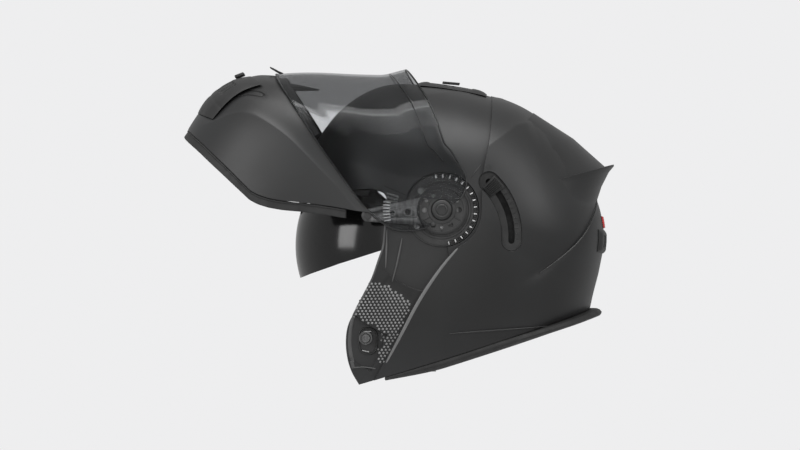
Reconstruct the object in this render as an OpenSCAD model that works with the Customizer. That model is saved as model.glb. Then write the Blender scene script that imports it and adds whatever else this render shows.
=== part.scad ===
// Modular motorcycle helmet with a flip-up chin bar, a clear visor and an inner sun visor.
// +X is forward, +Y is the wearer's left, +Z is up. The origin is the middle of the hinge axis.
// The helmet is drawn with its chin bar and clear visor raised and its sun visor lowered.

/* [Helmet form] */
// Half of the width over the flanks
half_w = 125; // [122:0.5:128]
// Exponent of the cross sections, where 2 is an ellipse
blunt = 2.3; // [2.2:0.05:2.45]
// Distance from the hinge to the brow
brow_r = 131.5; // [129:0.5:133]
// Distance from the hinge to the crown
crown_r = 114; // [110:0.5:116]
// Distance from the hinge to the back of the head
back_r = 148.4; // [145:0.5:152]
// Distance from the hinge to the top edge of the closed chin bar
port_r = 190.8; // [186:0.5:195]
// Distance from the hinge to the nose of the closed chin bar
chin_r = 231.5; // [226:0.5:236]
// Distance from the hinge to the lower edge of the closed chin bar
chin_low_r = 246.5; // [242:0.5:250]
// Height of the lower rim under the hinge
rim_drop = 134; // [131:0.5:138]
// Slope of the lower rim, lower at the front
rim_slope = 0.3125; // [0.28:0.0025:0.34]

/* [Outer shell] */
// Wall of the outer shell
shell_t = 3.2; // [2.6:0.1:4]
// Step from the rear of the shell down to the flank that the chin bar covers
flank_step = 3.8; // [3.6:0.1:4.4]
// Radius of the recess for the hinge parts
pocket_r = 33.5; // [33:0.5:36]
// Depth of the hinge recess inside the half width
pocket_depth = 11.5; // [11:0.5:13]
// Reach of the rear spoiler behind the hinge
spoiler_reach = 161.8; // [158:0.2:166]
// Half width of the rear spoiler, where it has faded into the shell
spoiler_half = 86; // [78:1:90]

/* [Liners] */
// Thickness of the impact liner over the crown
eps_t = 31; // [26:1:34]
// Thickness of the impact liner at the flanks
eps_side_t = 32; // [26:1:36]
// Thickness of the crown comfort liner
comfort_t = 8; // [5:0.5:11]
// Thickness of a cheek pad at its middle
cheek_t = 34; // [26:1:38]
// Diameter of the speaker pockets in the impact liner
speaker_d = 44; // [38:1:50]

/* [Chin bar] */
// Angle that closes the chin bar
close_angle = 68.7; // [60:0.1:72]
// Wall of the chin bar
chin_wall = 3; // [2.4:0.1:3.4]
// Thickness of the impact liner in the chin bar
chin_eps_t = 22; // [16:1:26]
// Thickness of the link arms
link_t = 2.4; // [2:0.1:2.6]

/* [Visors] */
// Thickness of the clear visor
visor_t = 2.2; // [1.8:0.1:2.4]
// Thickness of the sun visor
lens_t = 2; // [1.6:0.1:2.4]
// Sun visor pivot ahead of the hinge
lens_x = 30; // [28:0.5:32]
// Sun visor pivot below the hinge
lens_drop = 33; // [31:0.5:35]
// How far the sun visor's radius about its pivot is under the distance to the brow
lens_under = 27.3; // [26.5:0.1:29.5]
// Room between the half width and the sun visor at its pivots
lens_room = 17; // [16:0.5:20]

/* [Hinge] */
// Radius of the hinge pins
hub_r = 9; // [8:0.1:9.4]
// Radial running clearance of the hinge pins
run_clear = 0.05; // [0.02:0.01:0.09]
// Gap between neighbouring hinge plates
plate_gap = 0.3; // [0.3:0.05:0.4]

/* [Hidden] */
$fn = 64;

// Sizes that follow from the form
pocket_y = half_w - pocket_depth;
lens_r = brow_r - lens_under;
lens_half = half_w - lens_room;

// Centre-plane outline of the closed helmet: angle about the hinge, radius
outline = [
    [-90, 262],
    [-64, 256],
    [-52, chin_low_r],
    [-39.6, chin_r],
    [-32.5, (chin_r + port_r) / 2],
    [-28, port_r],
    [-15, 0.62 * brow_r + 0.38 * port_r],
    [-3, brow_r + 3],
    [5, brow_r],
    [30, brow_r - 0.3],
    [50, brow_r - 1],
    [65, brow_r - 4.5],
    [80, crown_r + 4.6],
    [94, crown_r],
    [106, crown_r],
    [117, crown_r + 2.5],
    [132, crown_r + 9],
    [148, crown_r + 16],
    [165, back_r - 10],
    [180, back_r],
    [190, back_r + 6],
    [200, back_r + 9],
    [211, back_r + 15.5],
    [240, back_r + 50],
    [270, 262]
];

// Smooth radius of the outline at an angle
function knot(a, i = 0) = i >= len(outline) - 2 || a < outline[i + 1][0] ? i : knot(a, i + 1);
function rise(i) =
    let(lo = max(i - 1, 0), hi = min(i + 1, len(outline) - 1))
    (outline[hi][1] - outline[lo][1]) / (outline[hi][0] - outline[lo][0]);
function form_r(a0) =
    let(a = a0 < -90 ? a0 + 360 : a0 > 270 ? a0 - 360 : a0)
    let(i = knot(a), h = outline[i + 1][0] - outline[i][0], s = (a - outline[i][0]) / h)
    (1 + 2 * s) * pow(1 - s, 2) * outline[i][1] + s * s * (3 - 2 * s) * outline[i + 1][1]
    + h * s * pow(1 - s, 2) * rise(i) + h * s * s * (s - 1) * rise(i + 1);

// Point of the form at an angle about the hinge and an angle towards the flank
function egg_point(a, t, dr, dw) =
    let(k = 2 / blunt, r = (form_r(a) + dr) * pow(cos(t), k), y = (half_w + dw) * pow(abs(sin(t)), k))
    [r * cos(a), sign(t) * y, r * sin(a)];

// Half width of the form at a point of the side view
function flank_y(x, z, dr = 0, dw = 0) =
    let(s = pow(norm([x, z]) / (form_r(atan2(z, x)) + dr), blunt))
    (half_w + dw) * pow(max(1 - s, 0), 1 / blunt);

// Closed solid of the whole form, drawn in by dr at the centre plane and dw at the flanks
egg_na = 48;
egg_nt = 16;
module egg(dr, dw, low = 0) {
    points = concat(
        [[0, -half_w - dw, 0]],
        [for (j = [1:egg_nt - 1], i = [0:egg_na - 1])
            let(a = -90 + i * 360 / egg_na, t = -90 + j * 180 / egg_nt, drop = a < 0 || a > 240 ? low : 0)
            egg_point(a, t, dr - drop, dw)],
        [[0, half_w + dw, 0]]
    );
    last = len(points) - 1;
    faces = concat(
        [for (i = [0:egg_na - 1]) [0, 1 + (i + 1) % egg_na, 1 + i]],
        [for (j = [0:egg_nt - 3], i = [0:egg_na - 1])
            let(p = 1 + j * egg_na, q = p + egg_na, n = (i + 1) % egg_na)
            each [[p + i, q + n, q + i], [p + i, p + n, q + n]]],
        [for (i = [0:egg_na - 1])
            let(p = 1 + (egg_nt - 2) * egg_na)
            [p + i, p + (i + 1) % egg_na, last]]
    );
    polyhedron(points, faces);
}

// Closed skin from two grids of points, outer and inner, of nu + 1 by nv + 1 points
module skin(first, second, nu, nv, flip = false) {
    outer = flip ? second : first;
    inner = flip ? first : second;
    w = nv + 1;
    m = len(outer);
    points = concat(outer, inner);
    faces = concat(
        [for (i = [0:nu - 1], j = [0:nv - 1])
            let(a = i * w + j, b = a + w)
            each [
                [a, b, b + 1], [a, b + 1, a + 1],
                [m + a, m + b + 1, m + b], [m + a, m + a + 1, m + b + 1]
            ]],
        [for (i = [0:nu - 1])
            let(a = i * w, b = a + w, c = a + nv, d = c + w)
            each [[a, m + b, b], [a, m + a, m + b], [c, d, m + d], [c, m + d, m + c]]],
        [for (j = [0:nv - 1])
            let(a = j, c = nu * w + j)
            each [
                [a, a + 1, m + a + 1], [a, m + a + 1, m + a],
                [c, m + c + 1, c + 1], [c, m + c, m + c + 1]
            ]]
    );
    polyhedron(points, faces);
}

// Reach of cuts that pass right through, and where bores through one flank begin
wide = half_w + 15;
bore_y0 = half_w - 35;

// Side-view outline drawn through from one flank to the other, or between two heights of one flank
module across(y0, y1) {
    translate([0, y1, 0]) rotate([90, 0, 0]) linear_extrude(y1 - y0) children();
}
module both_sides() {
    children();
    mirror([0, 1, 0]) children();
}
module rod(r, y0, y1, x = 0, z = 0) {
    translate([x, y1, z]) rotate([90, 0, 0]) cylinder(r = r, h = y1 - y0);
}

// Height of the lower rim at a place ahead of the hinge
function rim_z(x) = -rim_drop - rim_slope * x;

// Outline of the outer shell in the side view
shell_front = [
    [150, 3], [118, 7], [79, 19], [56, 19], [48.5, 12], [48.5, -5], [50.2, -16.7], [51.2, -32.6],
    [55.8, -44.2], [62.3, -64.2], [75.3, -88.4], [84.6, -102.3], [86.5, -122.8], [82.3, -143.2]
];
module shell_side() {
    polygon(concat(
        shell_front,
        [[74, rim_z(74)], [-200, rim_z(-200)], [-200, 160], [150, 160]]
    ));
}

// Turn that keeps the corners of the outlines off the grid lines of the form
skew = 1.3;

// Rear part of the side view, behind the edge that the closed chin bar meets
module rear_side(inset = 0) {
    offset(delta = -inset)
    polygon(concat(
        [[70, -170], [51.8, -137.6], [37.8, -111.3], [22.9, -81.7], [2.9, -51.6], [-12.4, -34.2]],
        [for (a = [240:-15:180]) 36 * [cos(a + skew), sin(a + skew)]],
        [[-36, 30], [-43, 62], [-47, 95], [-50, 160], [-230, 160], [-230, -170]]
    ));
}

// Recess of the hinge parts in the side view, with the fan that the link arm sweeps
fan_r = 74.5;
module pocket_side(grow = 0) {
    offset(delta = grow) {
        rotate(skew) circle(r = pocket_r);
        difference() {
            polygon(concat([[0, 0]], [for (a = [-98:12:22]) fan_r * [cos(a + skew), sin(a + skew)]]));
            rear_side(0.6);
        }
    }
}

// Latch recess, a ring sector about the hinge that the latch hook sweeps
latch_a = -59.4;
latch_r = 133.6;
latch_at = latch_r * [cos(latch_a), sin(latch_a)];

// Place in the side view, told from the striker: along the way the chin bar closes, and outwards
function latch_place(t, r) = latch_at + t * [sin(latch_a), -cos(latch_a)] + r * [cos(latch_a), sin(latch_a)];
hook_at = latch_place(-14, 7);
hook_pin_top = flank_y(1.03 * hook_at[0], 1.03 * hook_at[1], -chin_wall, -chin_wall) - 0.5;
latch_depth = 6.595;
latch_floor = hook_pin_top - latch_depth;
latch_out = 24;
latch_in = 12;
module latch_side(grow = 0) {
    offset(delta = grow) polygon(concat(
        [for (a = [latch_a - 7.1:6:latch_a + 28.9]) (latch_r + latch_out) * [cos(a), sin(a)]],
        [for (a = [latch_a + 28.9:-6:latch_a - 7.1]) (latch_r - latch_in) * [cos(a), sin(a)]]
    ));
}

// Slot of the sun visor slider, an arc on the left flank
track_x = 4.2;
track_z = -22.9;
track_r = 66.6;
track_half = 9.3;
track_a0 = 134;
track_a1 = 184;
track_floor = half_w - 12;
function track_point(r, a) = [track_x + r * cos(a), track_z + r * sin(a)];
module track_side(inset = 0, half = track_half) {
    h = half - inset;
    polygon(concat(
        [for (a = [track_a0:5:track_a1]) track_point(track_r + h, a)],
        [for (a = [track_a1 + 20:20:track_a1 + 160]) track_point(track_r, track_a1) + h * [cos(a), sin(a)]],
        [for (a = [track_a1:-5:track_a0]) track_point(track_r - h, a)],
        [for (a = [track_a0 + 200:20:track_a0 + 340]) track_point(track_r, track_a0) + h * [cos(a), sin(a)]]
    ));
}

// Outer shell: a front level that the chin bar and the visor pass over, and a prouder rear level
boss_floor = 2.5;
boss_wall = 3;
level_gap = 0.5;
track_seat = 4;
module outer_shell() {
    color([0.11, 0.11, 0.12])
    difference() {
        union() {
            difference() {
                intersection() {
                    union() {
                        egg(-level_gap, -flank_step, flank_step);
                        intersection() {
                            egg(0, 0);
                            across(-wide, wide) rear_side();
                        }
                    }
                    across(-wide, wide) shell_side();
                }
                difference() {
                    union() {
                        egg(-shell_t - level_gap, -flank_step - shell_t, flank_step);
                        intersection() {
                            egg(-shell_t, -shell_t);
                            across(-wide, wide) rear_side(shell_t);
                        }
                    }
                    both_sides() across(pocket_y - boss_floor, wide) pocket_side(boss_wall);
                    both_sides() across(latch_floor - boss_floor, wide) latch_side(boss_wall);
                }
            }
            difference() {
                spoiler();
                egg(-1, -1);
            }
        }
        both_sides() across(pocket_y, wide) pocket_side();
        both_sides() across(latch_floor, wide) latch_side();
        across(track_floor - track_seat, wide) track_side();
    }
}

// Rear spoiler, a chain of wedges that carries the crown on and fades into the flanks
spoiler_n = 10;
spoiler_edge = 1.6;
spoiler_root = [-85.6, 88.6];
spoiler_low = [-143.6, 8];
spoiler_tip = [spoiler_edge - spoiler_reach, 41.5];
spoiler_fade = 1.01 - form_r(atan2(spoiler_tip[1], spoiler_tip[0])) / norm(spoiler_tip);
function spoiler_cut(i) =
    let(u = 2 * i / spoiler_n - 1, y = u * spoiler_half)
    let(k = pow(1 - pow(abs(y) / half_w, blunt), 1 / blunt), reach = 1 - u * u * spoiler_fade)
    [for (p = [spoiler_root, spoiler_tip * reach, spoiler_low]) [k * p[0], y, k * p[1]]];
module spoiler() {
    for (i = [0:spoiler_n - 1]) {
        hull() {
            for (p = concat(spoiler_cut(i), spoiler_cut(i + 1))) {
                translate(p) sphere(r = spoiler_edge, $fn = 8);
            }
        }
    }
}

// Impact liner
liner_gap = 0.4;
eps_out_dr = -shell_t - level_gap - liner_gap;
eps_out_dw = -flank_step - shell_t - liner_gap;
eps_in_dr = eps_out_dr - eps_t;
eps_in_dw = eps_out_dw - eps_side_t;
groove_d = 5;
groove_w = 7;
groove_at = [-37.3, -15.3, 8.3, 30.3];
groove_x = [-101, -50, 10, 72];
groove_z = [22, 33, 36, 41];
groove_rise = 100;
seat_gap = 0.8;
eps_side = [
    [140, 9], [79, 24], [46, 24], [43, 10], [40, -30], [40, -58], [-40, -70], [-180, -70],
    [-180, 150], [140, 150]
];
module eps_liner() {
    color([0.2, 0.2, 0.21])
    difference() {
        intersection() {
            egg(eps_out_dr, eps_out_dw, flank_step);
            across(-wide, wide) polygon(eps_side);
        }
        egg(eps_in_dr, eps_in_dw);
        both_sides() across(pocket_y - boss_floor - liner_gap, wide) pocket_side(boss_wall + liner_gap);
        across(track_floor - track_seat - 3, wide) track_side(-1);
        both_sides() rod(speaker_d / 2 + cup_t + plate_gap, half_w - 65, cup_y1 + plate_gap, ear_x, -ear_drop);
        both_sides() rotate([0, skew, 0]) rod(lens_eye_r + 1.5, lens_half - 6.4, half_w - 5, lens_x, -lens_drop);
        lens_sweep();
        intersection() {
            egg(eps_in_dr + groove_d, eps_in_dw + groove_d);
            for (y = groove_at, i = [0:2]) {
                hull() {
                    translate([groove_x[i], y, groove_z[i]]) cube([1, groove_w, groove_rise]);
                    translate([groove_x[i + 1] - 2, y, groove_z[i + 1]]) cube([3, groove_w, groove_rise]);
                }
            }
        }
    }
}

// Foam behind the cheek pads, under the impact liner
cheek_side = [
    [40.4, -52], [44, -56], [51, -70], [52, -99], [33, -98], [33, -92], [3, -92], [3, -101],
    [-47, -101], [-47, -70.5], [-40, -70.5], [40.4, -58.5]
];
module cheek_foam() {
    color([0.2, 0.2, 0.21])
    difference() {
        intersection() {
            egg(eps_out_dr, eps_out_dw, flank_step);
            across(cheek_y + seat_gap, wide) polygon(cheek_side);
        }
        across(pocket_y - boss_floor - liner_gap, wide) pocket_side(boss_wall + liner_gap);
    }
}
module cheek_foam_left() {
    cheek_foam();
}
module cheek_foam_right() {
    mirror([0, 1, 0]) cheek_foam();
}

// Speaker cups let into the impact liner at the ears
ear_x = 5;
ear_drop = 25;
cup_t = 1.6;
cup_y1 = half_w - 29;
cup_y0 = cup_y1 - 12;
module speaker_cup() {
    color([0.09, 0.09, 0.1])
    difference() {
        rod(speaker_d / 2 + cup_t, cup_y0, cup_y1, ear_x, -ear_drop);
        rod(speaker_d / 2, cup_y0 - 5, cup_y1 - cup_t, ear_x, -ear_drop);
    }
}
module speaker_cup_left() {
    speaker_cup();
}
module speaker_cup_right() {
    mirror([0, 1, 0]) speaker_cup();
}

// Sun visor: a shell turned about its pivots
lens_tmax = 86.4;
function lens_profile(e, n) = [for (j = [-n:n]) let(t = j * lens_tmax / n, k = 2 / blunt)
    [(lens_r - e) * pow(cos(t), k), sign(t) * (lens_half - e) * pow(abs(sin(t)), k)]];
module turned_lens(e0, e1, n = 12, sides = 96) {
    inner = lens_profile(e1, n);
    translate([lens_x, 0, -lens_drop]) rotate([90, 0, 0]) rotate_extrude($fn = sides)
        polygon(concat(lens_profile(e0, n), [for (i = [2 * n:-1:0]) inner[i]]));
}
sweep_out = 9;
sweep_in = lens_t + 2;
sweep_side = [[20, -70], [160, -70], [160, 30], [100, 90], [50, 90], [14, 42], [14, -30]];
module lens_sweep() {
    intersection() {
        turned_lens(-sweep_out, sweep_in, 6, 48);
        across(-wide, wide) polygon(sweep_side);
    }
}
lens_pin_r = 4;
lens_eye_r = 12;
lens_side = [
    [150, 2], [104, 3], [92, 12], [82, 18], [60, 19], [46.5, 7], [34, -18], [22, -26], [20, -38],
    [30, -44], [53, -36], [91.6, -48.4], [118, -58], [130, -64], [150, -66]
];
module sun_lens() {
    color([0.06, 0.06, 0.07, 0.8])
    difference() {
        union() {
            intersection() {
                turned_lens(0, lens_t);
                across(-wide, wide) polygon(lens_side);
            }
            both_sides() rod(lens_eye_r, lens_half - 3.6, lens_half - 0.8, lens_x, -lens_drop);
        }
        both_sides() rod(lens_pin_r + run_clear, bore_y0, wide, lens_x, -lens_drop);
    }
}

// Crown comfort liner
crown_from = 30;
crown_to = 165;
crown_half = 52;
module crown_liner() {
    color([0.16, 0.16, 0.17])
    pad(
        crown_from, crown_to, 20, -crown_half, crown_half, 14,
        eps_in_dr - seat_gap, eps_in_dw - seat_gap, comfort_t
    );
}

// Crowned pad on the inside of a liner, between two angles about the hinge and two towards the flanks
function bulge(u, v) = pow(max(sin(180 * u) * sin(180 * v), 0), 0.35);
module pad(a0, a1, na, t0, t1, nt, dr, dw, t) {
    edge = 0.35;
    outer = [for (i = [0:na], j = [0:nt])
        egg_point(a0 + (a1 - a0) * i / na, t0 + (t1 - t0) * j / nt, dr, dw)];
    inner = [for (i = [0:na], j = [0:nt])
        let(e = t * (edge + (1 - edge) * bulge(i / na, j / nt)))
        egg_point(a0 + (a1 - a0) * i / na, t0 + (t1 - t0) * j / nt, dr - e, dw - e)];
    skin(outer, inner, na, nt);
}

// Edges of the chin bar and the clear visor, as side-view points with both raised
chin_top = [[146, 122.8], [137.5, 104], [119, 76], [100, 47], [80, 20], [62, -3]];
chin_low = [
    [236.7, 68.3], [225, 57.5], [205, 39], [185, 20.7], [164.6, 1.9], [101.4, -3.4],
    [60.5, -11.2]
];
visor_top = [
    [33, 129], [23.3, 115.3], [10.2, 94.9], [-0.9, 59.5], [-7.4, 53], [-14.9, 40], [-22.3, 26],
    [-17, 10]
];
visor_low = [
    [147, 124.5], [138.5, 106], [120, 78], [101, 49], [81.5, 22], [63.5, -1], [38, -19],
    [10, -14]
];

// Angle towards the flank and closed angle about the hinge of an edge point
function edge_row(p, first) =
    let(a = atan2(p[1], p[0]) - close_angle, r = norm(p))
    [first ? 0 : acos(min(pow(r / form_r(a), blunt / 2), 1)), a];
function edge_table(edge) = [for (i = [0:len(edge) - 1]) edge_row(edge[i], i == 0)];
function arc_angle(a, t, d) = d / (form_r(a) * pow(cos(t), 2 / blunt)) * 180 / PI;
function band_grid(low, top, tmax, nt, na, dr, dw, m0 = 0, m1 = 0) =
    let(lo = edge_table(low), hi = edge_table(top))
    [for (i = [0:nt], j = [0:na])
        let(t = -tmax + 2 * tmax * i / nt, b0 = lookup(abs(t), lo), b1 = lookup(abs(t), hi))
        let(a0 = b0 + arc_angle(b0, t, m0), a1 = b1 - arc_angle(b1, t, m1))
        egg_point(a0 + (a1 - a0) * j / na, t, dr, dw)];
module raised() {
    rotate([0, -close_angle, 0]) children();
}

// Skin along the chin bar between two depths, kept back from its lower and upper edges
module chin_band(tmax, nt, na, top, bottom, m0, m1) {
    raised() skin(
        band_grid(chin_low, chin_top, tmax, nt, na, top, top, m0, m1),
        band_grid(chin_low, chin_top, tmax, nt, na, bottom, bottom, m0, m1),
        nt, na, true
    );
}

// Chin bar shell
chin_tmax = 79;
chin_nt = 30;
chin_na = 10;
trim_h = 9;
module chin_shell() {
    color([0.11, 0.11, 0.12])
    chin_band(chin_tmax, chin_nt, chin_na, 0, -chin_wall, trim_h, 0);
}

// Impact liner of the chin bar
chin_eps_tmax = 38;
chin_eps_low = trim_h + 5.5;
chin_eps_top = 8;
module chin_liner() {
    color([0.2, 0.2, 0.21])
    chin_band(
        chin_eps_tmax, 16, 8, -chin_wall - liner_gap, -chin_wall - chin_eps_t,
        chin_eps_low, chin_eps_top
    );
}

// Rubber trim along the lower edge of the chin bar
trim_t = 5;
trim_seat = 0.1;
module chin_trim() {
    color([0.17, 0.17, 0.18])
    raised() skin(
        [for (i = [1:chin_nt - 1], j = [0:1]) trim_point(i, j, 0)],
        [for (i = [1:chin_nt - 1], j = [0:1]) trim_point(i, j, 1)],
        chin_nt - 2, 1, true
    );
}
function chin_t(i) = chin_tmax * (2 * i / chin_nt - 1);
function trim_point(i, j, deep) =
    let(t = chin_t(i), a = lookup(abs(t), edge_table(chin_low)))
    let(d = -deep * (chin_wall + trim_seat + (trim_t - chin_wall) * pow(cos(t), 4)))
    egg_point(a + arc_angle(a, t, j * (trim_h - liner_gap)), t, d, d);

// Rubber gasket inside the upper edge of the chin bar
gasket_h = 9;
gasket_t = 3;
gasket_end = 4;
gasket_top = -chin_wall - liner_gap;
module chin_gasket() {
    color([0.07, 0.07, 0.07])
    raised() skin(
        [for (i = [gasket_end:chin_nt - gasket_end], j = [0:2]) gasket_point(i, j, gasket_top)],
        [for (i = [gasket_end:chin_nt - gasket_end], j = [0:2]) gasket_point(i, j, gasket_top - gasket_t)],
        chin_nt - 2 * gasket_end, 2, true
    );
}
function gasket_point(i, j, d) =
    let(t = chin_t(i), a = lookup(abs(t), edge_table(chin_top)))
    egg_point(a - arc_angle(a, t, gasket_h * (0.5 - j / 2) - 1), t, d, d);

// Breath deflector, a curved blade inside the upper edge of the chin bar
blade_half = 48;
blade_reach = 40;
blade_t = 1.8;
blade_gap = 5.5;
blade_a = -30;
blade_up = [-0.5, 0, 0.8];
blade_out = [0.85, 0, 0.53];
function blade_point(u, v, d) =
    let(y = u * blade_half, t = asin(pow(abs(y) / half_w, blunt / 2)))
    let(r = egg_point(blade_a, t, -chin_wall - blade_gap, -4))
    [r[0], y, r[2]] + v * blade_reach * (1 - u * u) * blade_up + d * blade_out;
module breath_deflector() {
    color([0.08, 0.08, 0.08])
    raised() skin(
        [for (i = [0:16], j = [0:3]) blade_point(i / 8 - 1, 0.06 + 0.94 * j / 3, 0)],
        [for (i = [0:16], j = [0:3]) blade_point(i / 8 - 1, 0.06 + 0.94 * j / 3, -blade_t)],
        16, 3, true
    );
}

// Scoop on the chin, and the switch that slides on it
scoop_t = 2.2;
scoop_from = -47;
scoop_to = -33.5;
scoop_half = 24;
module chin_vent_scoop() {
    color([0.1, 0.1, 0.1])
    raised() proud_pad(scoop_from, scoop_to, 8, -scoop_half, scoop_half, 12, scoop_t);
}
switch_x = 182.4;
switch_z = -128;
switch_t = 3;
switch_round = 2;
switch_size = [20, 5];
module chin_vent_switch() {
    color([0.07, 0.07, 0.07])
    raised() translate([switch_x, 0, switch_z]) rotate([90, 0, 90]) linear_extrude(switch_t)
        offset(r = switch_round) square(switch_size, center = true);
}

// Link arms that carry the chin bar on the hinge pins
link_y0 = pocket_y + 2 + plate_gap;
link_root_r = 15;
link_tip = [66, -5];
link_tip_r = 5.5;
link_peg_r = 3.5;
link_seat = pocket_y + 5.4;
link_holes = [[2.6, 30, -2], [2, 44, -3]];
module link_arm() {
    color([0.3, 0.3, 0.31])
    difference() {
        union() {
            across(link_y0, link_y0 + link_t) hull() {
                circle(r = link_root_r);
                translate(link_tip) circle(r = link_tip_r, $fn = 32);
            }
            rod(link_peg_r, link_y0, link_seat, link_tip[0], link_tip[1]);
        }
        rod(hub_r + run_clear, bore_y0, wide);
        for (h = link_holes) rod(h[0], bore_y0, wide, h[1], h[2]);
    }
}
module link_arm_left() {
    link_arm();
}
module link_arm_right() {
    mirror([0, 1, 0]) link_arm();
}

// Base plates in the hinge recesses, with a toothed rim and two flush screws each
base_t = 2;
base_screws = [[19, 16.9], [21.9, -14.4]];
screw_r = 3.2;
screw_floor = 0.8;
screw_slot = [4.4, 2, 0.8];
tooth_n = 16;
tooth_a0 = -80;
tooth_sweep = 178;
tooth_at = 29;
tooth_size = [3, 2.5, 2.4];
module pivot_base() {
    color([0.1, 0.1, 0.1])
    difference() {
        union() {
            rod(pocket_r - liner_gap, pocket_y, pocket_y + base_t);
            for (i = [0:tooth_n - 1]) {
                rotate([0, tooth_a0 - tooth_sweep * i / (tooth_n - 1), 0])
                    translate([tooth_at, pocket_y + base_t - 0.5, -tooth_size[2] / 2]) cube(tooth_size);
            }
        }
        for (p = base_screws) rod(screw_r + 0.2, pocket_y + screw_floor, wide, p[0], p[1]);
    }
}
module pivot_base_left() {
    pivot_base();
}
module pivot_base_right() {
    mirror([0, 1, 0]) pivot_base();
}
module base_screw_set() {
    color([0.45, 0.45, 0.46])
    both_sides() for (p = base_screws) difference() {
        rod(screw_r, pocket_y + screw_floor, pocket_y + base_t - 0.1, p[0], p[1]);
        translate([p[0] - screw_slot[0] / 2, pocket_y + 1.3, p[1] - screw_slot[2] / 2]) cube(screw_slot);
    }
}

// Hinge pins
hub_top = half_w - 0.4;
hex_r = 4.2;
hex_d = 2.4;
module hub_pin() {
    color([0.16, 0.16, 0.17])
    difference() {
        rod(hub_r, pocket_y + base_t, hub_top);
        translate([0, hub_top - hex_d, 0]) rotate([-90, 0, 0]) cylinder(r = hex_r, h = 3, $fn = 6);
    }
}
module hub_pin_left() {
    hub_pin();
}
module hub_pin_right() {
    mirror([0, 1, 0]) hub_pin();
}

// Rings that turn the clear visor on the hinge pins
ring_r = 22;
ring_y0 = link_y0 + link_t + plate_gap;
ring_y1 = half_w - 4;
ring_hole_r = 2.4;
ring_hole_at = 15.5;
module visor_ring() {
    color([0.2, 0.2, 0.21])
    difference() {
        rod(ring_r, ring_y0, ring_y1);
        rod(hub_r + run_clear, bore_y0, wide);
        for (a = [0:60:300]) {
            rod(ring_hole_r, bore_y0, wide, ring_hole_at * cos(a), ring_hole_at * sin(a));
        }
    }
}
module visor_ring_left() {
    visor_ring();
}
module visor_ring_right() {
    mirror([0, 1, 0]) visor_ring();
}

// Lift tab at the lower edge of the clear visor
tab_a = -28.4;
tab_w = 22;
tab_side = [[195.6, 0], [205.8, -1.8], [206, -0.4], [192.8, 2.8]];
module visor_tab() {
    color([0.08, 0.08, 0.08])
    raised() rotate([0, -tab_a, 0]) rotate([90, 0, 0]) linear_extrude(tab_w, center = true)
        polygon(tab_side);
}

// Latch strikers on the shell, and the hooks in the chin bar that close round them
striker_r = 3.5;
striker_h = 7.7;
module latch_pin() {
    color([0.6, 0.6, 0.62])
    rod(striker_r, latch_floor, latch_floor + striker_h, latch_at[0], latch_at[1]);
}
module latch_pin_left() {
    latch_pin();
}
module latch_pin_right() {
    mirror([0, 1, 0]) latch_pin();
}

// Latch hooks, with a nose that closes behind the striker
hook_knee = latch_place(7.4, 8.6);
hook_nose = latch_place(7, 0.6);
hook_eye_r = 5.2;
hook_knee_r = 2.8;
hook_nose_r = 2.2;
hook_y0 = latch_floor + 1.5;
hook_t = 2.6;
hook_pin_r = 3;
module latch_hook() {
    color([0.35, 0.35, 0.36])
    difference() {
        across(hook_y0, hook_y0 + hook_t) union() {
            hull() {
                translate(hook_at) circle(r = hook_eye_r, $fn = 32);
                translate(hook_knee) circle(r = hook_knee_r, $fn = 32);
            }
            hull() {
                translate(hook_knee) circle(r = hook_knee_r, $fn = 32);
                translate(hook_nose) circle(r = hook_nose_r, $fn = 32);
            }
        }
        rod(hook_pin_r + run_clear, bore_y0, wide, hook_at[0], hook_at[1]);
    }
}
module latch_hook_left() {
    raised() latch_hook();
}
module latch_hook_right() {
    mirror([0, 1, 0]) raised() latch_hook();
}
module hook_pin_set() {
    color([0.5, 0.5, 0.52])
    both_sides() raised() rod(hook_pin_r, hook_y0 - 0.6, hook_pin_top, hook_at[0], hook_at[1]);
}

// Release button under the chin
button_a = -52.6;
button_size = [13.2, 32, 10.4];
button_r0 = chin_low_r - 20.5;
module release_button() {
    color([0.45, 0.06, 0.05])
    raised() rotate([0, -button_a, 0]) translate([button_r0, -button_size[1] / 2, -4]) cube(button_size);
}

// Clear visor
visor_tmax = 87;
visor_off = 0.8;
visor_in = -3;
visor_nt = 36;
visor_na = 14;
module clear_visor() {
    color([0.75, 0.78, 0.8, 0.35])
    raised() skin(
        band_grid(
            visor_low, visor_top, visor_tmax, visor_nt, visor_na,
            visor_off + visor_t, visor_in + visor_t
        ),
        band_grid(visor_low, visor_top, visor_tmax, visor_nt, visor_na, visor_off, visor_in),
        visor_nt, visor_na, true
    );
}

// Crowned pad that stands proud of the shell
pad_seat = 0.3;
module proud_pad(a0, a1, na, t0, t1, nt, t) {
    outer = [for (i = [0:na], j = [0:nt])
        let(e = 0.4 + t * (0.25 + 0.75 * bulge(i / na, j / nt)))
        egg_point(a0 + (a1 - a0) * i / na, t0 + (t1 - t0) * j / nt, e, e)];
    inner = [for (i = [0:na], j = [0:nt])
        egg_point(a0 + (a1 - a0) * i / na, t0 + (t1 - t0) * j / nt, pad_seat, pad_seat)];
    skin(outer, inner, na, nt);
}

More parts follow.
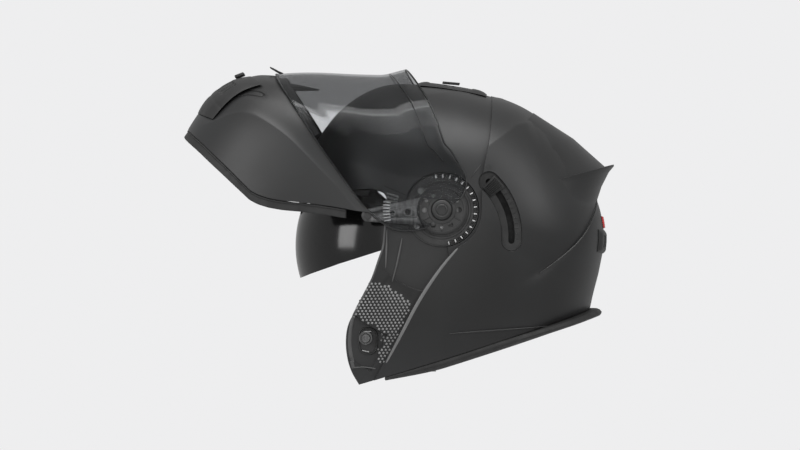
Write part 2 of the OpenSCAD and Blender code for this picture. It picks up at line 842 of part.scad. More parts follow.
// Crown vent, exhaust vent and reflector
vent_t = 2.4;
crown_vent_from = 80;
crown_vent_to = 112;
crown_vent_half = 14;
module crown_vent_base() {
    color([0.1, 0.1, 0.11])
    proud_pad(crown_vent_from, crown_vent_to, 10, -crown_vent_half, crown_vent_half, 10, vent_t);
}
crown_slide_a = 95;
crown_slide_r = crown_r + 3.2;
crown_slide_t = 1.8;
crown_slide_round = 2.5;
crown_slide_size = [15, 11];
module crown_vent_slider() {
    color([0.07, 0.07, 0.07])
    rotate([0, -crown_slide_a, 0]) translate([crown_slide_r, 0, 0]) rotate([90, 0, 90])
        linear_extrude(crown_slide_t) offset(r = crown_slide_round) square(crown_slide_size, center = true);
}
exhaust_from = 187;
exhaust_to = 195;
exhaust_half = 20;
module exhaust_vent() {
    color([0.08, 0.08, 0.08])
    proud_pad(exhaust_from, exhaust_to, 6, -exhaust_half, exhaust_half, 10, vent_t);
}
reflector_from = 182.2;
reflector_to = 186.4;
reflector_half = 9;
reflector_t = 1.6;
module rear_reflector() {
    color([0.5, 0.06, 0.04])
    proud_pad(reflector_from, reflector_to, 4, -reflector_half, reflector_half, 6, reflector_t);
}

// Rubber strip along the brow
brow_edge = [[56, 19], [79, 19], [118, 7], [150, 3]];
brow_n = 24;
brow_half = 62;
brow_w = 5;
brow_top = 0.3;
brow_t = 1.2;
function brow_point(i, j, d) =
    let(t = brow_half * (2 * i / brow_n - 1), x = (brow_r - level_gap) * pow(cos(t), 2 / blunt))
    let(a = atan2(lookup(x, brow_edge), x) - 0.4)
    egg_point(a - arc_angle(a, t, brow_w * j), t, d - level_gap, d - flank_step);
module brow_gasket() {
    color([0.06, 0.06, 0.06])
    skin(
        [for (i = [0:brow_n], j = [0:1]) brow_point(i, j, -brow_top)],
        [for (i = [0:brow_n], j = [0:1]) brow_point(i, j, -brow_top - brow_t)],
        brow_n, 1
    );
}

// Lower rim: points along it from the right front round the back to the left front
rim_a0 = 205;
rim_a1 = 288.5;
rim_n = 44;
function rim_line(a) = -rim_drop / (sin(a) + rim_slope * cos(a));
function rim_start(dr, a = rim_a0) = rim_line(a) < form_r(a) + dr || a > 250 ? a : rim_start(dr, a + 0.5);
function rim_half(u, dr, dw, a1) =
    let(a0 = rim_start(dr), a = a0 + (a1 - a0) * pow(u, 1.6), r = rim_line(a))
    [r * cos(a), flank_y(r * cos(a), r * sin(a), dr, dw) * min(1, u * 20), r * sin(a)];
function rim_path(dr, dw, a1) = [for (i = [0:rim_n])
    let(u = 2 * i / rim_n - 1, p = rim_half(abs(u), dr, dw, a1))
    [p[0], u < 0 ? -p[1] : p[1], p[2]]];

// Tube of a section, given as inward and upward steps, along a path; towards the middle the
// section grows outwards and inwards by the two parts of flare
module tube(path, section, flare = [0, 0]) {
    n = len(path) - 1;
    m = len(section);
    points = [for (i = [0:n], q = section)
        let(d = path[min(i + 1, n)] - path[max(i - 1, 0)], o = [d[1], -d[0], 0] / norm([d[1], d[0]]))
        let(k = 1 + flare[q[0] > 0 ? 1 : 0] * pow(sin(180 * i / n), 4))
        path[i] + q[0] * k * o + q[1] * [0, 0, 1]];
    faces = concat(
        [for (i = [0:n - 1], k = [0:m - 1])
            let(a = i * m + k, b = i * m + (k + 1) % m)
            each [[a, b, b + m], [a, b + m, a + m]]],
        [[for (k = [m - 1:-1:0]) k]],
        [[for (k = [0:m - 1]) n * m + k]]
    );
    polyhedron(points, faces);
}
trim_in = 2;
rim_flare = [2.5, 0.8];
rim_section = [[-3, -0.5], [-4, -4], [0, -8.5], [5.5, -8.5], [7, -6], [3, -2.5], [2, -0.5]];
module rim_trim() {
    color([0.07, 0.07, 0.07])
    tube(rim_path(-trim_in, -trim_in - flank_step / 2, rim_a1), rim_section, rim_flare);
}
neck_in = 12.5;
neck_a1 = 243;
neck_section = [for (a = [0:40:320]) [8 * cos(a), 9.8 + 10 * sin(a)]];
module neck_roll() {
    color([0.14, 0.14, 0.15])
    tube(rim_path(-neck_in, -neck_in - flank_step, neck_a1), neck_section);
}

// Cheek pads, crowned towards the face
cheek_corners = [[62, -68], [74, -138], [-50, -100], [-48, -76]];
cheek_gap = 3.7;
cheek_y = latch_floor - cheek_gap;
cheek_nu = 12;
cheek_nv = 9;
cheek_edge = 8;
cheek_lift = cheek_t - 14;
function cheek_point(u, v, inner) =
    let(p = (1 - u) * ((1 - v) * cheek_corners[0] + v * cheek_corners[1])
        + u * ((1 - v) * cheek_corners[3] + v * cheek_corners[2]))
    let(y = min(cheek_y, flank_y(p[0], p[1], -8, -14)))
    [p[0], inner ? y - cheek_edge - cheek_lift * bulge(u, v) : y, p[1]];
module cheek_pad() {
    color([0.16, 0.16, 0.17])
    skin(
        [for (i = [0:cheek_nu], j = [0:cheek_nv]) cheek_point(1 - i / cheek_nu, j / cheek_nv, false)],
        [for (i = [0:cheek_nu], j = [0:cheek_nv]) cheek_point(1 - i / cheek_nu, j / cheek_nv, true)],
        cheek_nu, cheek_nv, true
    );
}
module cheek_pad_left() {
    cheek_pad();
}
module cheek_pad_right() {
    mirror([0, 1, 0]) cheek_pad();
}

// Track and knob of the sun visor slider
track_t = 2.6;
knob_a = 139;
knob_turn = 5.5;
knob_half = 7.6;
knob_top = track_floor + 6.2;
knob_at = track_point(track_r, knob_a);
stem_r = 2.2;
stem_slot = 2.7;
module slider_track() {
    color([0.06, 0.06, 0.06])
    difference() {
        across(track_floor - track_t, track_floor) track_side(plate_gap);
        across(track_floor - 10, track_floor + 10) track_side(0, stem_slot);
    }
}
module slider_knob() {
    color([0.09, 0.09, 0.09])
    union() {
        across(track_floor + plate_gap, knob_top) polygon(concat(
            [for (i = [-2:2]) track_point(track_r + knob_half, knob_a + knob_turn * i / 2)],
            [for (i = [2:-1:-2]) track_point(track_r - knob_half, knob_a + knob_turn * i / 2)]
        ));
        rod(stem_r, track_floor - 6, track_floor + 1, knob_at[0], knob_at[1]);
    }
}

// Pins that carry the sun visor, standing inwards from the shell's hinge bosses
lens_pin_y0 = lens_half - 5.4;
lens_head_t = 1.4;
module lens_pin_set() {
    color([0.3, 0.3, 0.31])
    both_sides() union() {
        rod(lens_pin_r, lens_pin_y0, pocket_y - boss_floor, lens_x, -lens_drop);
        rod(lens_pin_r + 2, lens_pin_y0, lens_pin_y0 + lens_head_t, lens_x, -lens_drop);
    }
}

// Chin straps, flat webbing from the shell down and under the chin
strap_w = 24;
strap_t = 1.6;
strap_x = 18;
strap_n = 18;
strap_way = [[half_w - 27, -96], [half_w - 26, -152], [half_w - 59, -143], [24, -146]];
function strap_at(u) =
    pow(1 - u, 3) * strap_way[0] + 3 * u * pow(1 - u, 2) * strap_way[1]
    + 3 * u * u * (1 - u) * strap_way[2] + pow(u, 3) * strap_way[3];
function strap_point(u, j, e) =
    let(p = strap_at(u), q = strap_at(min(u + 0.01, 1)) - strap_at(max(u - 0.01, 0)))
    let(o = [q[1], -q[0]] / norm(q))
    [strap_x + strap_w * (j - 0.5), p[0] + e * o[0], p[1] + e * o[1]];
module strap() {
    color([0.08, 0.08, 0.08])
    skin(
        [for (i = [0:strap_n], j = [0:1]) strap_point(i / strap_n, j, strap_t / 2)],
        [for (i = [0:strap_n], j = [0:1]) strap_point(i / strap_n, j, -strap_t / 2)],
        strap_n, 1, true
    );
}
module strap_left() {
    strap();
}
module strap_right() {
    mirror([0, 1, 0]) strap();
}
rivet_z = -103;
rivet_y = half_w - 25.8;
rivet_r = 5;
rivet_shank_r = 2.5;
module strap_rivet_set() {
    color([0.55, 0.55, 0.56])
    both_sides() union() {
        rod(rivet_r, rivet_y, rivet_y + 1.8, strap_x, rivet_z);
        rod(rivet_shank_r, rivet_y + 1.8, rivet_y + 6.8, strap_x, rivet_z);
    }
}

// Buckle: frame on the left strap, ratchet tongue on the right strap, and a lever
buckle_z = -147.6;
buckle_wall = 1.6;
buckle_size = [28, 37.6, 7];
buckle_y = -14;
tongue_size = [20, 37.4, 1.8];
tongue_y = -23.6;
lever_pin_r = 1.5;
lever_y = 4;
lever_z = buckle_z + 3.4;
lever_size = [23.2, 26, 2];
module lever_rod(r, length) {
    translate([strap_x - length / 2, lever_y, lever_z]) rotate([0, 90, 0]) cylinder(r = r, h = length);
}
module buckle_frame() {
    color([0.4, 0.4, 0.41])
    difference() {
        translate([strap_x - buckle_size[0] / 2, buckle_y, buckle_z - buckle_wall]) cube(buckle_size);
        translate([strap_x - buckle_size[0] / 2 + buckle_wall, buckle_y - 6, buckle_z])
            cube(buckle_size + [-2 * buckle_wall, 12.4, 1]);
        lever_rod(lever_pin_r + run_clear, 40);
    }
}
module ratchet_tongue() {
    color([0.1, 0.1, 0.1])
    translate([strap_x - tongue_size[0] / 2, tongue_y, buckle_z + 0.1]) cube(tongue_size);
}
module buckle_lever() {
    color([0.5, 0.08, 0.06])
    union() {
        lever_rod(lever_pin_r, buckle_size[0] - 0.2);
        translate([strap_x - lever_size[0] / 2, lever_y - lever_size[1], lever_z - 1]) cube(lever_size);
    }
}

outer_shell();
eps_liner();
cheek_foam_left();
cheek_foam_right();
speaker_cup_left();
speaker_cup_right();
crown_liner();
cheek_pad_left();
cheek_pad_right();
neck_roll();
rim_trim();
brow_gasket();
latch_pin_left();
latch_pin_right();
pivot_base_left();
pivot_base_right();
base_screw_set();
hub_pin_left();
hub_pin_right();
lens_pin_set();
slider_track();
crown_vent_base();
exhaust_vent();
rear_reflector();
strap_left();
strap_right();
strap_rivet_set();
buckle_frame();
ratchet_tongue();
chin_shell();
chin_liner();
chin_trim();
chin_gasket();
breath_deflector();
chin_vent_scoop();
link_arm_left();
link_arm_right();
hook_pin_set();
latch_hook_left();
latch_hook_right();
release_button();
chin_vent_switch();
clear_visor();
visor_ring_left();
visor_ring_right();
visor_tab();
sun_lens();
slider_knob();
crown_vent_slider();
buckle_lever();
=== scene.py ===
import math

import bmesh
import bpy
import numpy as np
from mathutils import Matrix, Vector

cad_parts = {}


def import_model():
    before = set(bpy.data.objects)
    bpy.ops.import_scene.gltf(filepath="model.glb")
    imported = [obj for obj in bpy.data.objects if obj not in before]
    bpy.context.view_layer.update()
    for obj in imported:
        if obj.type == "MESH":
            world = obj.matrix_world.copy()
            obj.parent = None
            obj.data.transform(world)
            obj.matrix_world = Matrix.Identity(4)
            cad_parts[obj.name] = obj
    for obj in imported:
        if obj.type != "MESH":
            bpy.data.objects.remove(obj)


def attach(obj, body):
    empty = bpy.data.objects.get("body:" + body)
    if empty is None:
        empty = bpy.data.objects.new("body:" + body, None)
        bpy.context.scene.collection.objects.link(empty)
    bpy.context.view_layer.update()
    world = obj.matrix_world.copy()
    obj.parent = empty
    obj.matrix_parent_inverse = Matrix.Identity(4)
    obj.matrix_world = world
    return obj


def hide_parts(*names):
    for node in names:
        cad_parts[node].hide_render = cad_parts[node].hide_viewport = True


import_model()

for name in ("Cube", "Light", "Camera"):
    if name in bpy.data.objects:
        bpy.data.objects.remove(bpy.data.objects[name])
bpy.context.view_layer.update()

MM = 0.001
PI = math.pi
SIDES = ((1, "left"), (-1, "right"))

# Named sizes in millimetres, the same as the solids'
half_w = 125
blunt = 2.3
brow_r = 131.5
crown_r = 114
back_r = 148.4
port_r = 190.8
chin_r = 231.5
chin_low_r = 246.5
rim_drop, rim_slope = 134, 0.3125
shell_t = 3.2
flank_step = 3.8
level_gap = 0.5
pocket_r, pocket_y = 33.5, 113.5
close_angle = 68.7
chin_wall = 3
wide = half_w + 15
outline = [
    (-90, 262), (-64, 256), (-52, chin_low_r), (-39.6, chin_r), (-32.5, (chin_r + port_r) / 2),
    (-28, port_r), (-15, 0.62 * brow_r + 0.38 * port_r), (-3, brow_r + 3), (5, brow_r),
    (30, brow_r - 0.3), (50, brow_r - 1), (65, brow_r - 4.5), (80, crown_r + 4.6), (94, crown_r),
    (106, crown_r), (117, crown_r + 2.5), (132, crown_r + 9), (148, crown_r + 16),
    (165, back_r - 10), (180, back_r), (190, back_r + 6), (200, back_r + 9), (211, back_r + 15.5),
    (240, back_r + 50), (270, 262),
]

# Levels of the shell's front part and the foam against the form, at the centre plane and at the flank
front_off = (-level_gap - flank_step, -flank_step)
foam_out = (-4.1, -7.4)
foam_in = (-35.1, -39.4)
foam_channel = (foam_in[0] + 5, foam_in[1] + 5)
hub_wall_y = pocket_y - 2.9
hub_y, hub_h = pocket_y + 2, 9.1

# Latch, cheek pads, slider, sun visor, speaker, strap and buckle
latch_a, latch_r, latch_floor = -59.4, 133.6, 97.3
latch_reach = (-12, 24)
latch_span = (-7.1, 28.9)
cheek_y = latch_floor - 3.7
track_at, track_r, track_half, track_y = (4.2, -22.9), 66.6, 9.3, 113.5
lens_at, lens_r, lens_half, lens_t = (30, -33), 104.2, 108, 2
speaker_at, speaker_y = (5, -25), 84
rivet_at = (18, -103)
strap_w = 24
buckle_z = -149.2
lever_at = (-4, buckle_z + 5)


# Smooth radius of the centre-plane outline
def hermite_table():
    last = len(outline) - 1
    slope = []
    for i in range(last + 1):
        (a0, r0), (a1, r1) = outline[max(i - 1, 0)], outline[min(i + 1, last)]
        slope.append((r1 - r0) / (a1 - a0))
    angles = np.arange(-90, 270.01, 0.25)
    radii = []
    i = 0
    for a in angles:
        while i < last - 1 and a >= outline[i + 1][0]:
            i += 1
        (a0, r0), (a1, r1) = outline[i], outline[i + 1]
        h = a1 - a0
        s = (a - a0) / h
        radii.append((1 + 2 * s) * (1 - s) ** 2 * r0 + s * s * (3 - 2 * s) * r1
                     + h * s * (1 - s) ** 2 * slope[i] + h * s * s * (s - 1) * slope[i + 1])
    return angles, np.array(radii)


table_a, table_r = hermite_table()


def form_r(a):
    return np.interp((np.asarray(a, float) + 90) % 360 - 90, table_a, table_r)


def egg_points(a, t, dr, dw):
    """Points of the form at angles about the hinge and angles towards the flank."""
    k = 2 / blunt
    r = (form_r(a) + dr) * np.power(np.abs(np.cos(np.radians(t))), k)
    y = np.sign(t) * (half_w + dw) * np.power(np.abs(np.sin(np.radians(t))), k)
    return np.stack([r * np.cos(np.radians(a)), y + 0 * r, r * np.sin(np.radians(a))], axis=-1)


def flank_y(x, z, dr, dw):
    s = (np.hypot(x, z) / (form_r(np.degrees(np.arctan2(z, x))) + dr)) ** blunt
    return (half_w + dw) * np.maximum(1 - s, 0) ** (1 / blunt)


def rim_z(x):
    return -rim_drop - rim_slope * x


def turn(points, angle):
    """Turns points about the hinge axis, upwards at the front for a positive angle, in degrees."""
    c, s = math.cos(math.radians(angle)), math.sin(math.radians(angle))
    p = np.asarray(points, float)
    return np.stack([p[..., 0] * c - p[..., 2] * s, p[..., 1], p[..., 0] * s + p[..., 2] * c], axis=-1)


# Side-view points and lines
def polar(r, a, at=(0, 0)):
    return (at[0] + r * math.cos(math.radians(a)), at[1] + r * math.sin(math.radians(a)))


def arc(r, a0, a1, n, at=(0, 0)):
    return [polar(r, a, at) for a in np.linspace(a0, a1, n)]


def circle(r, at=(0, 0), n=96):
    return [polar(r, 360 * i / n, at) for i in range(n)]


def chaikin(points, rounds=2, closed=False):
    """Cuts the corners of a line a few times."""
    p = [np.asarray(q, float) for q in points]
    for _ in range(rounds):
        pairs = zip(p, p[1:] + p[:1]) if closed else zip(p, p[1:])
        cut = [q for a, b in pairs for q in (0.75 * a + 0.25 * b, 0.25 * a + 0.75 * b)]
        p = cut if closed else [p[0]] + cut + [p[-1]]
    return [tuple(q) for q in p]


def sample(points, step):
    """Points along a polyline at about that spacing."""
    p = np.asarray(points, float)
    d = np.r_[0, np.cumsum(np.linalg.norm(np.diff(p, axis=0), axis=1))]
    n = max(2, int(round(d[-1] / step)) + 1)
    s = np.linspace(0, d[-1], n)
    return np.stack([np.interp(s, d, p[:, i]) for i in range(p.shape[1])], axis=-1)


def line_distance(x, z, line):
    """Distance to a polyline in the side view, the side it lies on, and the place along it from 0 to 1."""
    best = np.full(np.shape(x), 1e9)
    side = np.zeros(np.shape(x))
    place = np.zeros(np.shape(x))
    p = np.asarray(line, float)
    length = np.r_[0, np.cumsum(np.linalg.norm(np.diff(p, axis=0), axis=1))]
    for i in range(len(p) - 1):
        d = p[i + 1] - p[i]
        m = float(np.dot(d, d))
        s = np.clip(((x - p[i][0]) * d[0] + (z - p[i][1]) * d[1]) / m, 0, 1)
        q = np.hypot(x - p[i][0] - s * d[0], z - p[i][1] - s * d[1])
        near = q < best
        best = np.where(near, q, best)
        side = np.where(near, np.sign(d[0] * (z - p[i][1]) - d[1] * (x - p[i][0])), side)
        place = np.where(near, (length[i] + s * math.sqrt(m)) / length[-1], place)
    return best, side, place


def faded(place, start, end):
    return np.clip(place / start, 0, 1) * np.clip((1 - place) / end, 0, 1)


def fold(x, z, line, height, left, right, fade):
    """A crease: a ridge along a line that falls off over different widths on its two sides."""
    d, side, place = line_distance(x, z, line)
    return height * np.exp(-d / np.where(side > 0, left, right)) * faded(place, fade, fade)


def dimple(x, z, at, radius, depth):
    return -depth * np.exp(-(np.hypot(x - at[0], z - at[1]) / radius) ** 4)


def hull(points):
    """Convex outline round points of the side view."""
    pts = sorted(set((round(float(a), 5), round(float(b), 5)) for a, b in points))

    def half(seq):
        out = []
        for q in seq:
            while len(out) > 1:
                (x0, z0), (x1, z1) = out[-2:]
                if (x1 - x0) * (q[1] - z0) - (z1 - z0) * (q[0] - x0) > 0:
                    break
                out.pop()
            out.append(q)
        return out[:-1]

    return half(pts) + half(pts[::-1])


# Meshes
collection = bpy.context.scene.collection


def link(name, data):
    o = bpy.data.objects.new(name, data)
    collection.objects.link(o)
    return o


def soften(o, angle):
    if not angle:
        o.data.shade_flat()
        return
    o.data.shade_smooth()
    if angle < 180:
        o.data.set_sharp_from_angle(angle=math.radians(angle))


def make(name, points, faces, material=None, smooth=35):
    """A mesh from points in millimetres, with its faces turned outwards."""
    mesh = bpy.data.meshes.new(name)
    mesh.from_pydata((np.asarray(points, float) * MM).tolist(), [], faces)
    mesh.validate()
    b = bmesh.new()
    b.from_mesh(mesh)
    bmesh.ops.recalc_face_normals(b, faces=b.faces)
    b.to_mesh(mesh)
    b.free()
    o = link(name, mesh)
    if material:
        mesh.materials.append(material)
    soften(o, smooth)
    return o


def loft(name, sections, material=None, smooth=50, around=False):
    """Closed sections joined in a row, with caps, or in a ring."""
    p = np.asarray(sections, float)
    n, m = p.shape[:2]
    steps = [(i, (i + 1) % n, k, (k + 1) % m) for i in range(n if around else n - 1) for k in range(m)]
    faces = [(i * m + k, i * m + q, j * m + q, j * m + k) for i, j, k, q in steps]
    if not around:
        faces += [tuple(range(m)), tuple(range(n * m - 1, (n - 1) * m - 1, -1))]
    return make(name, p.reshape(-1, 3), faces, material, smooth)


def prism(name, shape, y0, y1):
    """Side-view outline drawn through between two heights."""
    return loft(name, [[(x, y, z) for x, z in shape] for y in sorted((y0, y1))], smooth=0)


def skin(name, outer, inner, material=None, smooth=35):
    """Closed skin between two grids of points of the same size."""
    nu, nv = outer.shape[:2]
    m = nu * nv
    grid = [(i * nv + j, (i + 1) * nv + j) for i in range(nu - 1) for j in range(nv - 1)]
    faces = [(a, b, b + 1, a + 1) for a, b in grid]
    faces += [(m + a, m + a + 1, m + b + 1, m + b) for a, b in grid]
    for a in range(0, m - nv, nv):
        b, c, d = a + nv, a + nv - 1, a + 2 * nv - 1
        faces += [(a, m + a, m + b, b), (c, d, m + d, m + c)]
    for a in range(nv - 1):
        c = m - nv + a
        faces += [(a, a + 1, m + a + 1, m + a), (c, m + c, m + c + 1, c + 1)]
    return make(name, np.concatenate([outer.reshape(-1, 3), inner.reshape(-1, 3)]), faces, material, smooth)


def egg(name, depths, low, na, nt, shape=None):
    """Closed solid of the form; shape(x, z, y) gives how far a point stands proud."""
    dr, dw = depths
    a, t = np.meshgrid(-90 + 360 * np.arange(na) / na, -90 + 180 * np.arange(1, nt) / nt)
    dr = dr - np.where((a < 0) | (a > 240), low, 0)
    p = egg_points(a, t, dr, dw)
    pole = half_w + dw
    if shape is not None:
        e = shape(p[..., 0], p[..., 2], p[..., 1])
        p = egg_points(a, t, dr + e, dw + e)
        pole += shape(np.zeros(1), np.zeros(1), np.array([half_w]))[0]
    points = np.concatenate([[[0, -pole, 0]], p.reshape(-1, 3), [[0, pole, 0]]])
    last, rows = len(points) - 1, nt - 1
    faces = []
    for i in range(na):
        n = (i + 1) % na
        faces += [(0, 1 + n, 1 + i), (last - na + i, last - na + n, last)]
        faces += [(q + i, q + n, q + na + n, q + na + i) for q in range(1, 1 + (rows - 1) * na, na)]
    return make(name, points, faces)


def bead(name, path, radius, material, sides=8, closed=False, squash=1.0):
    """A round bead along any path; radius may be a function of the place from 0 to 1."""
    path = np.asarray(path, float)
    n = len(path)
    sections = []
    for i in range(n):
        d = path[(i + 1) % n] - path[i - 1] if closed else path[min(i + 1, n - 1)] - path[max(i - 1, 0)]
        d /= np.linalg.norm(d)
        u = np.cross(d, [0.0, 1.0, 0.0])
        if np.linalg.norm(u) < 0.05:
            u = np.cross(d, [0.0, 0.0, 1.0])
        u /= np.linalg.norm(u)
        v = squash * np.cross(d, u)
        r = radius(i / (n - 1)) if callable(radius) else radius
        sections.append([path[i] + x * u + z * v for x, z in circle(r, n=sides)])
    return loft(name, sections, material, 60, closed)


def lathe(name, profile, at, out, material, sides, s):
    """A turned piece: profile of (radius, height) about the line along Y at a side-view point."""
    spin = circle(1, n=sides)
    sections = [[(at[0] + r * c, s * (out + h), at[1] + r * d) for r, h in profile] for c, d in spin]
    return loft(name, sections, material, 30, True)


def applied(o):
    """Makes the modifiers part of the mesh."""
    bpy.context.view_layer.update()
    mesh = bpy.data.meshes.new_from_object(o.evaluated_get(bpy.context.evaluated_depsgraph_get()))
    o.modifiers.clear()
    old = o.data
    o.data = mesh
    bpy.data.meshes.remove(old)
    return o


def round_edges(o, by, angle=30, segments=2):
    m = o.modifiers.new("round", "BEVEL")
    m.width = by * MM
    m.segments = segments
    m.limit_method = "ANGLE"
    m.angle_limit = math.radians(angle)
    return applied(o)


def combine(o, other, how="DIFFERENCE"):
    """Boolean of two closed meshes: DIFFERENCE, UNION or INTERSECT."""
    m = o.modifiers.new("cut", "BOOLEAN")
    m.object = other
    m.operation = how
    m.solver = "MANIFOLD"
    applied(o)
    bpy.data.objects.remove(other)
    return o


def cut(o, shape, y0, y1, how="DIFFERENCE"):
    return combine(o, prism("cut", shape, y0, y1), how)


def bore(o, shape, s):
    """Cuts an outline right through a piece of one flank."""
    return cut(o, shape, s * 90, s * wide)


def finished(o, material, smooth, bevel=0, angle=40, segments=2):
    """One material over the whole mesh, its sharp edges rounded."""
    o.data.materials.clear()
    o.data.materials.append(material)
    if bevel:
        round_edges(o, bevel, angle, segments)
    soften(o, smooth)
    return o


def turned(o, angle, axis="Y"):
    o.data.transform(Matrix.Rotation(math.radians(angle), 4, axis))
    return o


def join(name, objects):
    """One object of several, their own meshes kept apart inside it."""
    b = bmesh.new()
    slots = []
    for o in objects:
        start = len(b.faces)
        b.from_mesh(o.data)
        b.faces.ensure_lookup_table()
        mats = list(o.data.materials)
        slots += [m for m in dict.fromkeys(mats) if m not in slots]
        for f in b.faces[start:]:
            f.material_index = slots.index(mats[f.material_index]) if mats else 0
    mesh = bpy.data.meshes.new(name)
    b.to_mesh(mesh)
    b.free()
    for mat in slots:
        mesh.materials.append(mat)
    out = link(name, mesh)
    for o in objects:
        bpy.data.objects.remove(o)
    return out


def keep(piece, node, body):
    """The piece stands for a solid, if one is named, and moves with its body."""
    if node:
        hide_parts(node)
    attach(piece, body)
    return piece


# Materials
def fill(t, n, inputs):
    """Sets inputs to values, or links them where another node's output is given."""
    for key, value in inputs.items():
        if isinstance(value, bpy.types.NodeSocket):
            t.links.new(value, n.inputs[key])
        else:
            n.inputs[key].default_value = value
    return n


def add(t, kind, inputs, **settings):
    n = t.nodes.new("ShaderNode" + kind)
    for key, value in settings.items():
        setattr(n, key, value)
    return fill(t, n, inputs)


def new_material(name, stretch=(1, 1, 1)):
    """A material with its tree, its surface node and object coordinates."""
    m = bpy.data.materials.new(name)
    m.use_nodes = True
    t = m.node_tree
    t.nodes.clear()
    b = add(t, "BsdfPrincipled", {})
    add(t, "OutputMaterial", {0: b.outputs[0]})
    coord = add(t, "TexCoord", {})
    v = add(t, "Mapping", {"Vector": coord.outputs["Object"], "Scale": stretch}).outputs[0]
    return m, t, b, v


def noise(t, vector, scale, detail=3.0):
    return add(t, "TexNoise", {"Vector": vector, "Scale": scale, "Detail": detail}).outputs["Fac"]


def ramp(t, factor, low, high, at=(0.35, 0.65)):
    r = add(t, "ValToRGB", {0: factor})
    for element, place, colour in zip(r.color_ramp.elements, at, (low, high)):
        element.position = place
        element.color = (*colour, 1)
    return r.outputs[0]


def between(t, factor, low, high):
    ends = {"Value": factor, "From Min": 0.3, "From Max": 0.7, "To Min": low, "To Max": high}
    return add(t, "MapRange", ends).outputs[0]


def bumped(t, b, height, strength, distance, edge=0.0):
    n = add(t, "Bump", {"Height": height, "Strength": strength, "Distance": distance * MM})
    if edge:
        rounded = add(t, "Bevel", {"Radius": edge * MM}, samples=4)
        fill(t, n, {"Normal": rounded.outputs[0]})
    fill(t, b, {"Normal": n.outputs[0]})


def grey(v, warm=0.0):
    return (v * (1 + warm), v, v * (1 - warm))


def surface(name, low, high, rough, patch, grain, strength, distance,
            metal=0.0, coat=0.0, spec=0.5, stretch=(1, 1, 1), edge=0.0):
    """A solid finish: two tones in soft patches, a changing roughness and a fine grain."""
    m, t, b, v = new_material(name, stretch)
    fill(t, b, {
        "Base Color": ramp(t, noise(t, v, patch), low, high),
        "Roughness": between(t, noise(t, v, patch * 2.7), *rough),
        "Metallic": metal, "Coat Weight": coat, "Coat Roughness": 0.35, "Specular IOR Level": spec,
    })
    bumped(t, b, noise(t, v, grain, 4.0), strength, distance, edge)
    return m


def woven(name, low, high, scale, strength, distance):
    """Crossed threads."""
    m, t, b, v = new_material(name)
    total = None
    for direction in ("X", "Y", "Z"):
        threads = {"Vector": v, "Scale": scale, "Distortion": 0.4, "Detail": 1.0}
        w = add(t, "TexWave", threads, bands_direction=direction).outputs["Fac"]
        total = add(t, "Math", {0: w, 1: 0.6, 2: total}, operation="MULTIPLY_ADD").outputs[0] if total else w
    fill(t, b, {
        "Base Color": ramp(t, noise(t, v, 60), low, high),
        "Roughness": between(t, noise(t, v, 220), 0.75, 0.9),
        "Sheen Weight": 0.12, "Specular IOR Level": 0.25,
    })
    bumped(t, b, total, strength, distance)
    return m


def beaded(name, low, high, scale, strength, distance):
    """Foam of fused beads."""
    m, t, b, v = new_material(name)
    c = add(t, "TexVoronoi", {"Vector": v, "Scale": scale}).outputs["Distance"]
    fill(t, b, {
        "Base Color": ramp(t, c, high, low, (0.1, 0.75)),
        "Roughness": between(t, noise(t, v, 90), 0.7, 0.85),
        "Specular IOR Level": 0.3,
    })
    bumped(t, b, c, -strength, distance)
    return m


def see_through(name, tint, body, shine, rough, edge_dark=0.0):
    """A clear or smoked sheet: see-through with a reflection, and a little of its own colour."""
    m, t, b, v = new_material(name)
    fill(t, b, {
        "Base Color": ramp(t, noise(t, v, 12), *body),
        "Roughness": between(t, noise(t, v, 30), *rough),
        "Specular IOR Level": 0.8,
    })
    clear = add(t, "BsdfTransparent", {"Color": (*tint, 1)})
    f = add(t, "Fresnel", {"IOR": 1.5})
    share = {0: f.outputs[0], 1: shine, 2: edge_dark}
    a = add(t, "Math", share, operation="MULTIPLY_ADD", use_clamp=True)
    mix = add(t, "MixShader", {0: a.outputs[0], 1: clear.outputs[0], 2: b.outputs[0]})
    fill(t, next(n for n in t.nodes if n.type == "OUTPUT_MATERIAL"), {0: mix.outputs[0]})
    return m


def plain(name, tones, rough, *grain, **more):
    return surface(name, grey(tones[0]), grey(tones[1]), rough, *grain, **more)


paint = {
    "rough": (0.40, 0.47), "patch": 9, "grain": 1400, "strength": 0.18, "distance": 0.05, "coat": 0.06,
    "edge": 0.7,
}
shell_paint = surface("matte_shell", grey(0.0095), grey(0.0130, -0.03), spec=0.36, **paint)
chin_paint = surface("matte_chin", grey(0.0110), grey(0.0145, -0.03), spec=0.38, **paint)
plastic = plain("moulded_plastic", (0.009, 0.014), (0.38, 0.52), 40, 900, 0.3, 0.12, edge=0.3)
dark_plastic = plain("dark_plastic", (0.005, 0.008), (0.45, 0.6), 40, 900, 0.3, 0.12, edge=0.3)
foam = beaded("bead_foam", grey(0.012), grey(0.024), 260, 0.6, 0.6)
lining = woven("brushed_lining", grey(0.012), grey(0.021), 260, 0.6, 0.35)
webbing = woven("webbing", grey(0.008), grey(0.016), 190, 0.9, 0.5)
rubber = plain("trim_rubber", (0.008, 0.013), (0.55, 0.7), 50, 700, 0.35, 0.15, spec=0.4)
seal_rubber = plain("seal_rubber", (0.006, 0.010), (0.5, 0.62), 50, 700, 0.35, 0.15, spec=0.4)
brushed = {"patch": 60, "grain": 500, "strength": 0.25, "distance": 0.06, "metal": 1.0}
steel = plain("brushed_steel", (0.30, 0.42), (0.24, 0.38), stretch=(1, 1, 8), **brushed)
dark_steel = plain("dark_steel", (0.07, 0.12), (0.28, 0.42), stretch=(8, 1, 1), **brushed)
red_lens = surface(
    "red_lens", (0.35, 0.006, 0.008), (0.5, 0.012, 0.012), (0.12, 0.2), 60, 500, 0.15, 0.05, coat=0.6)
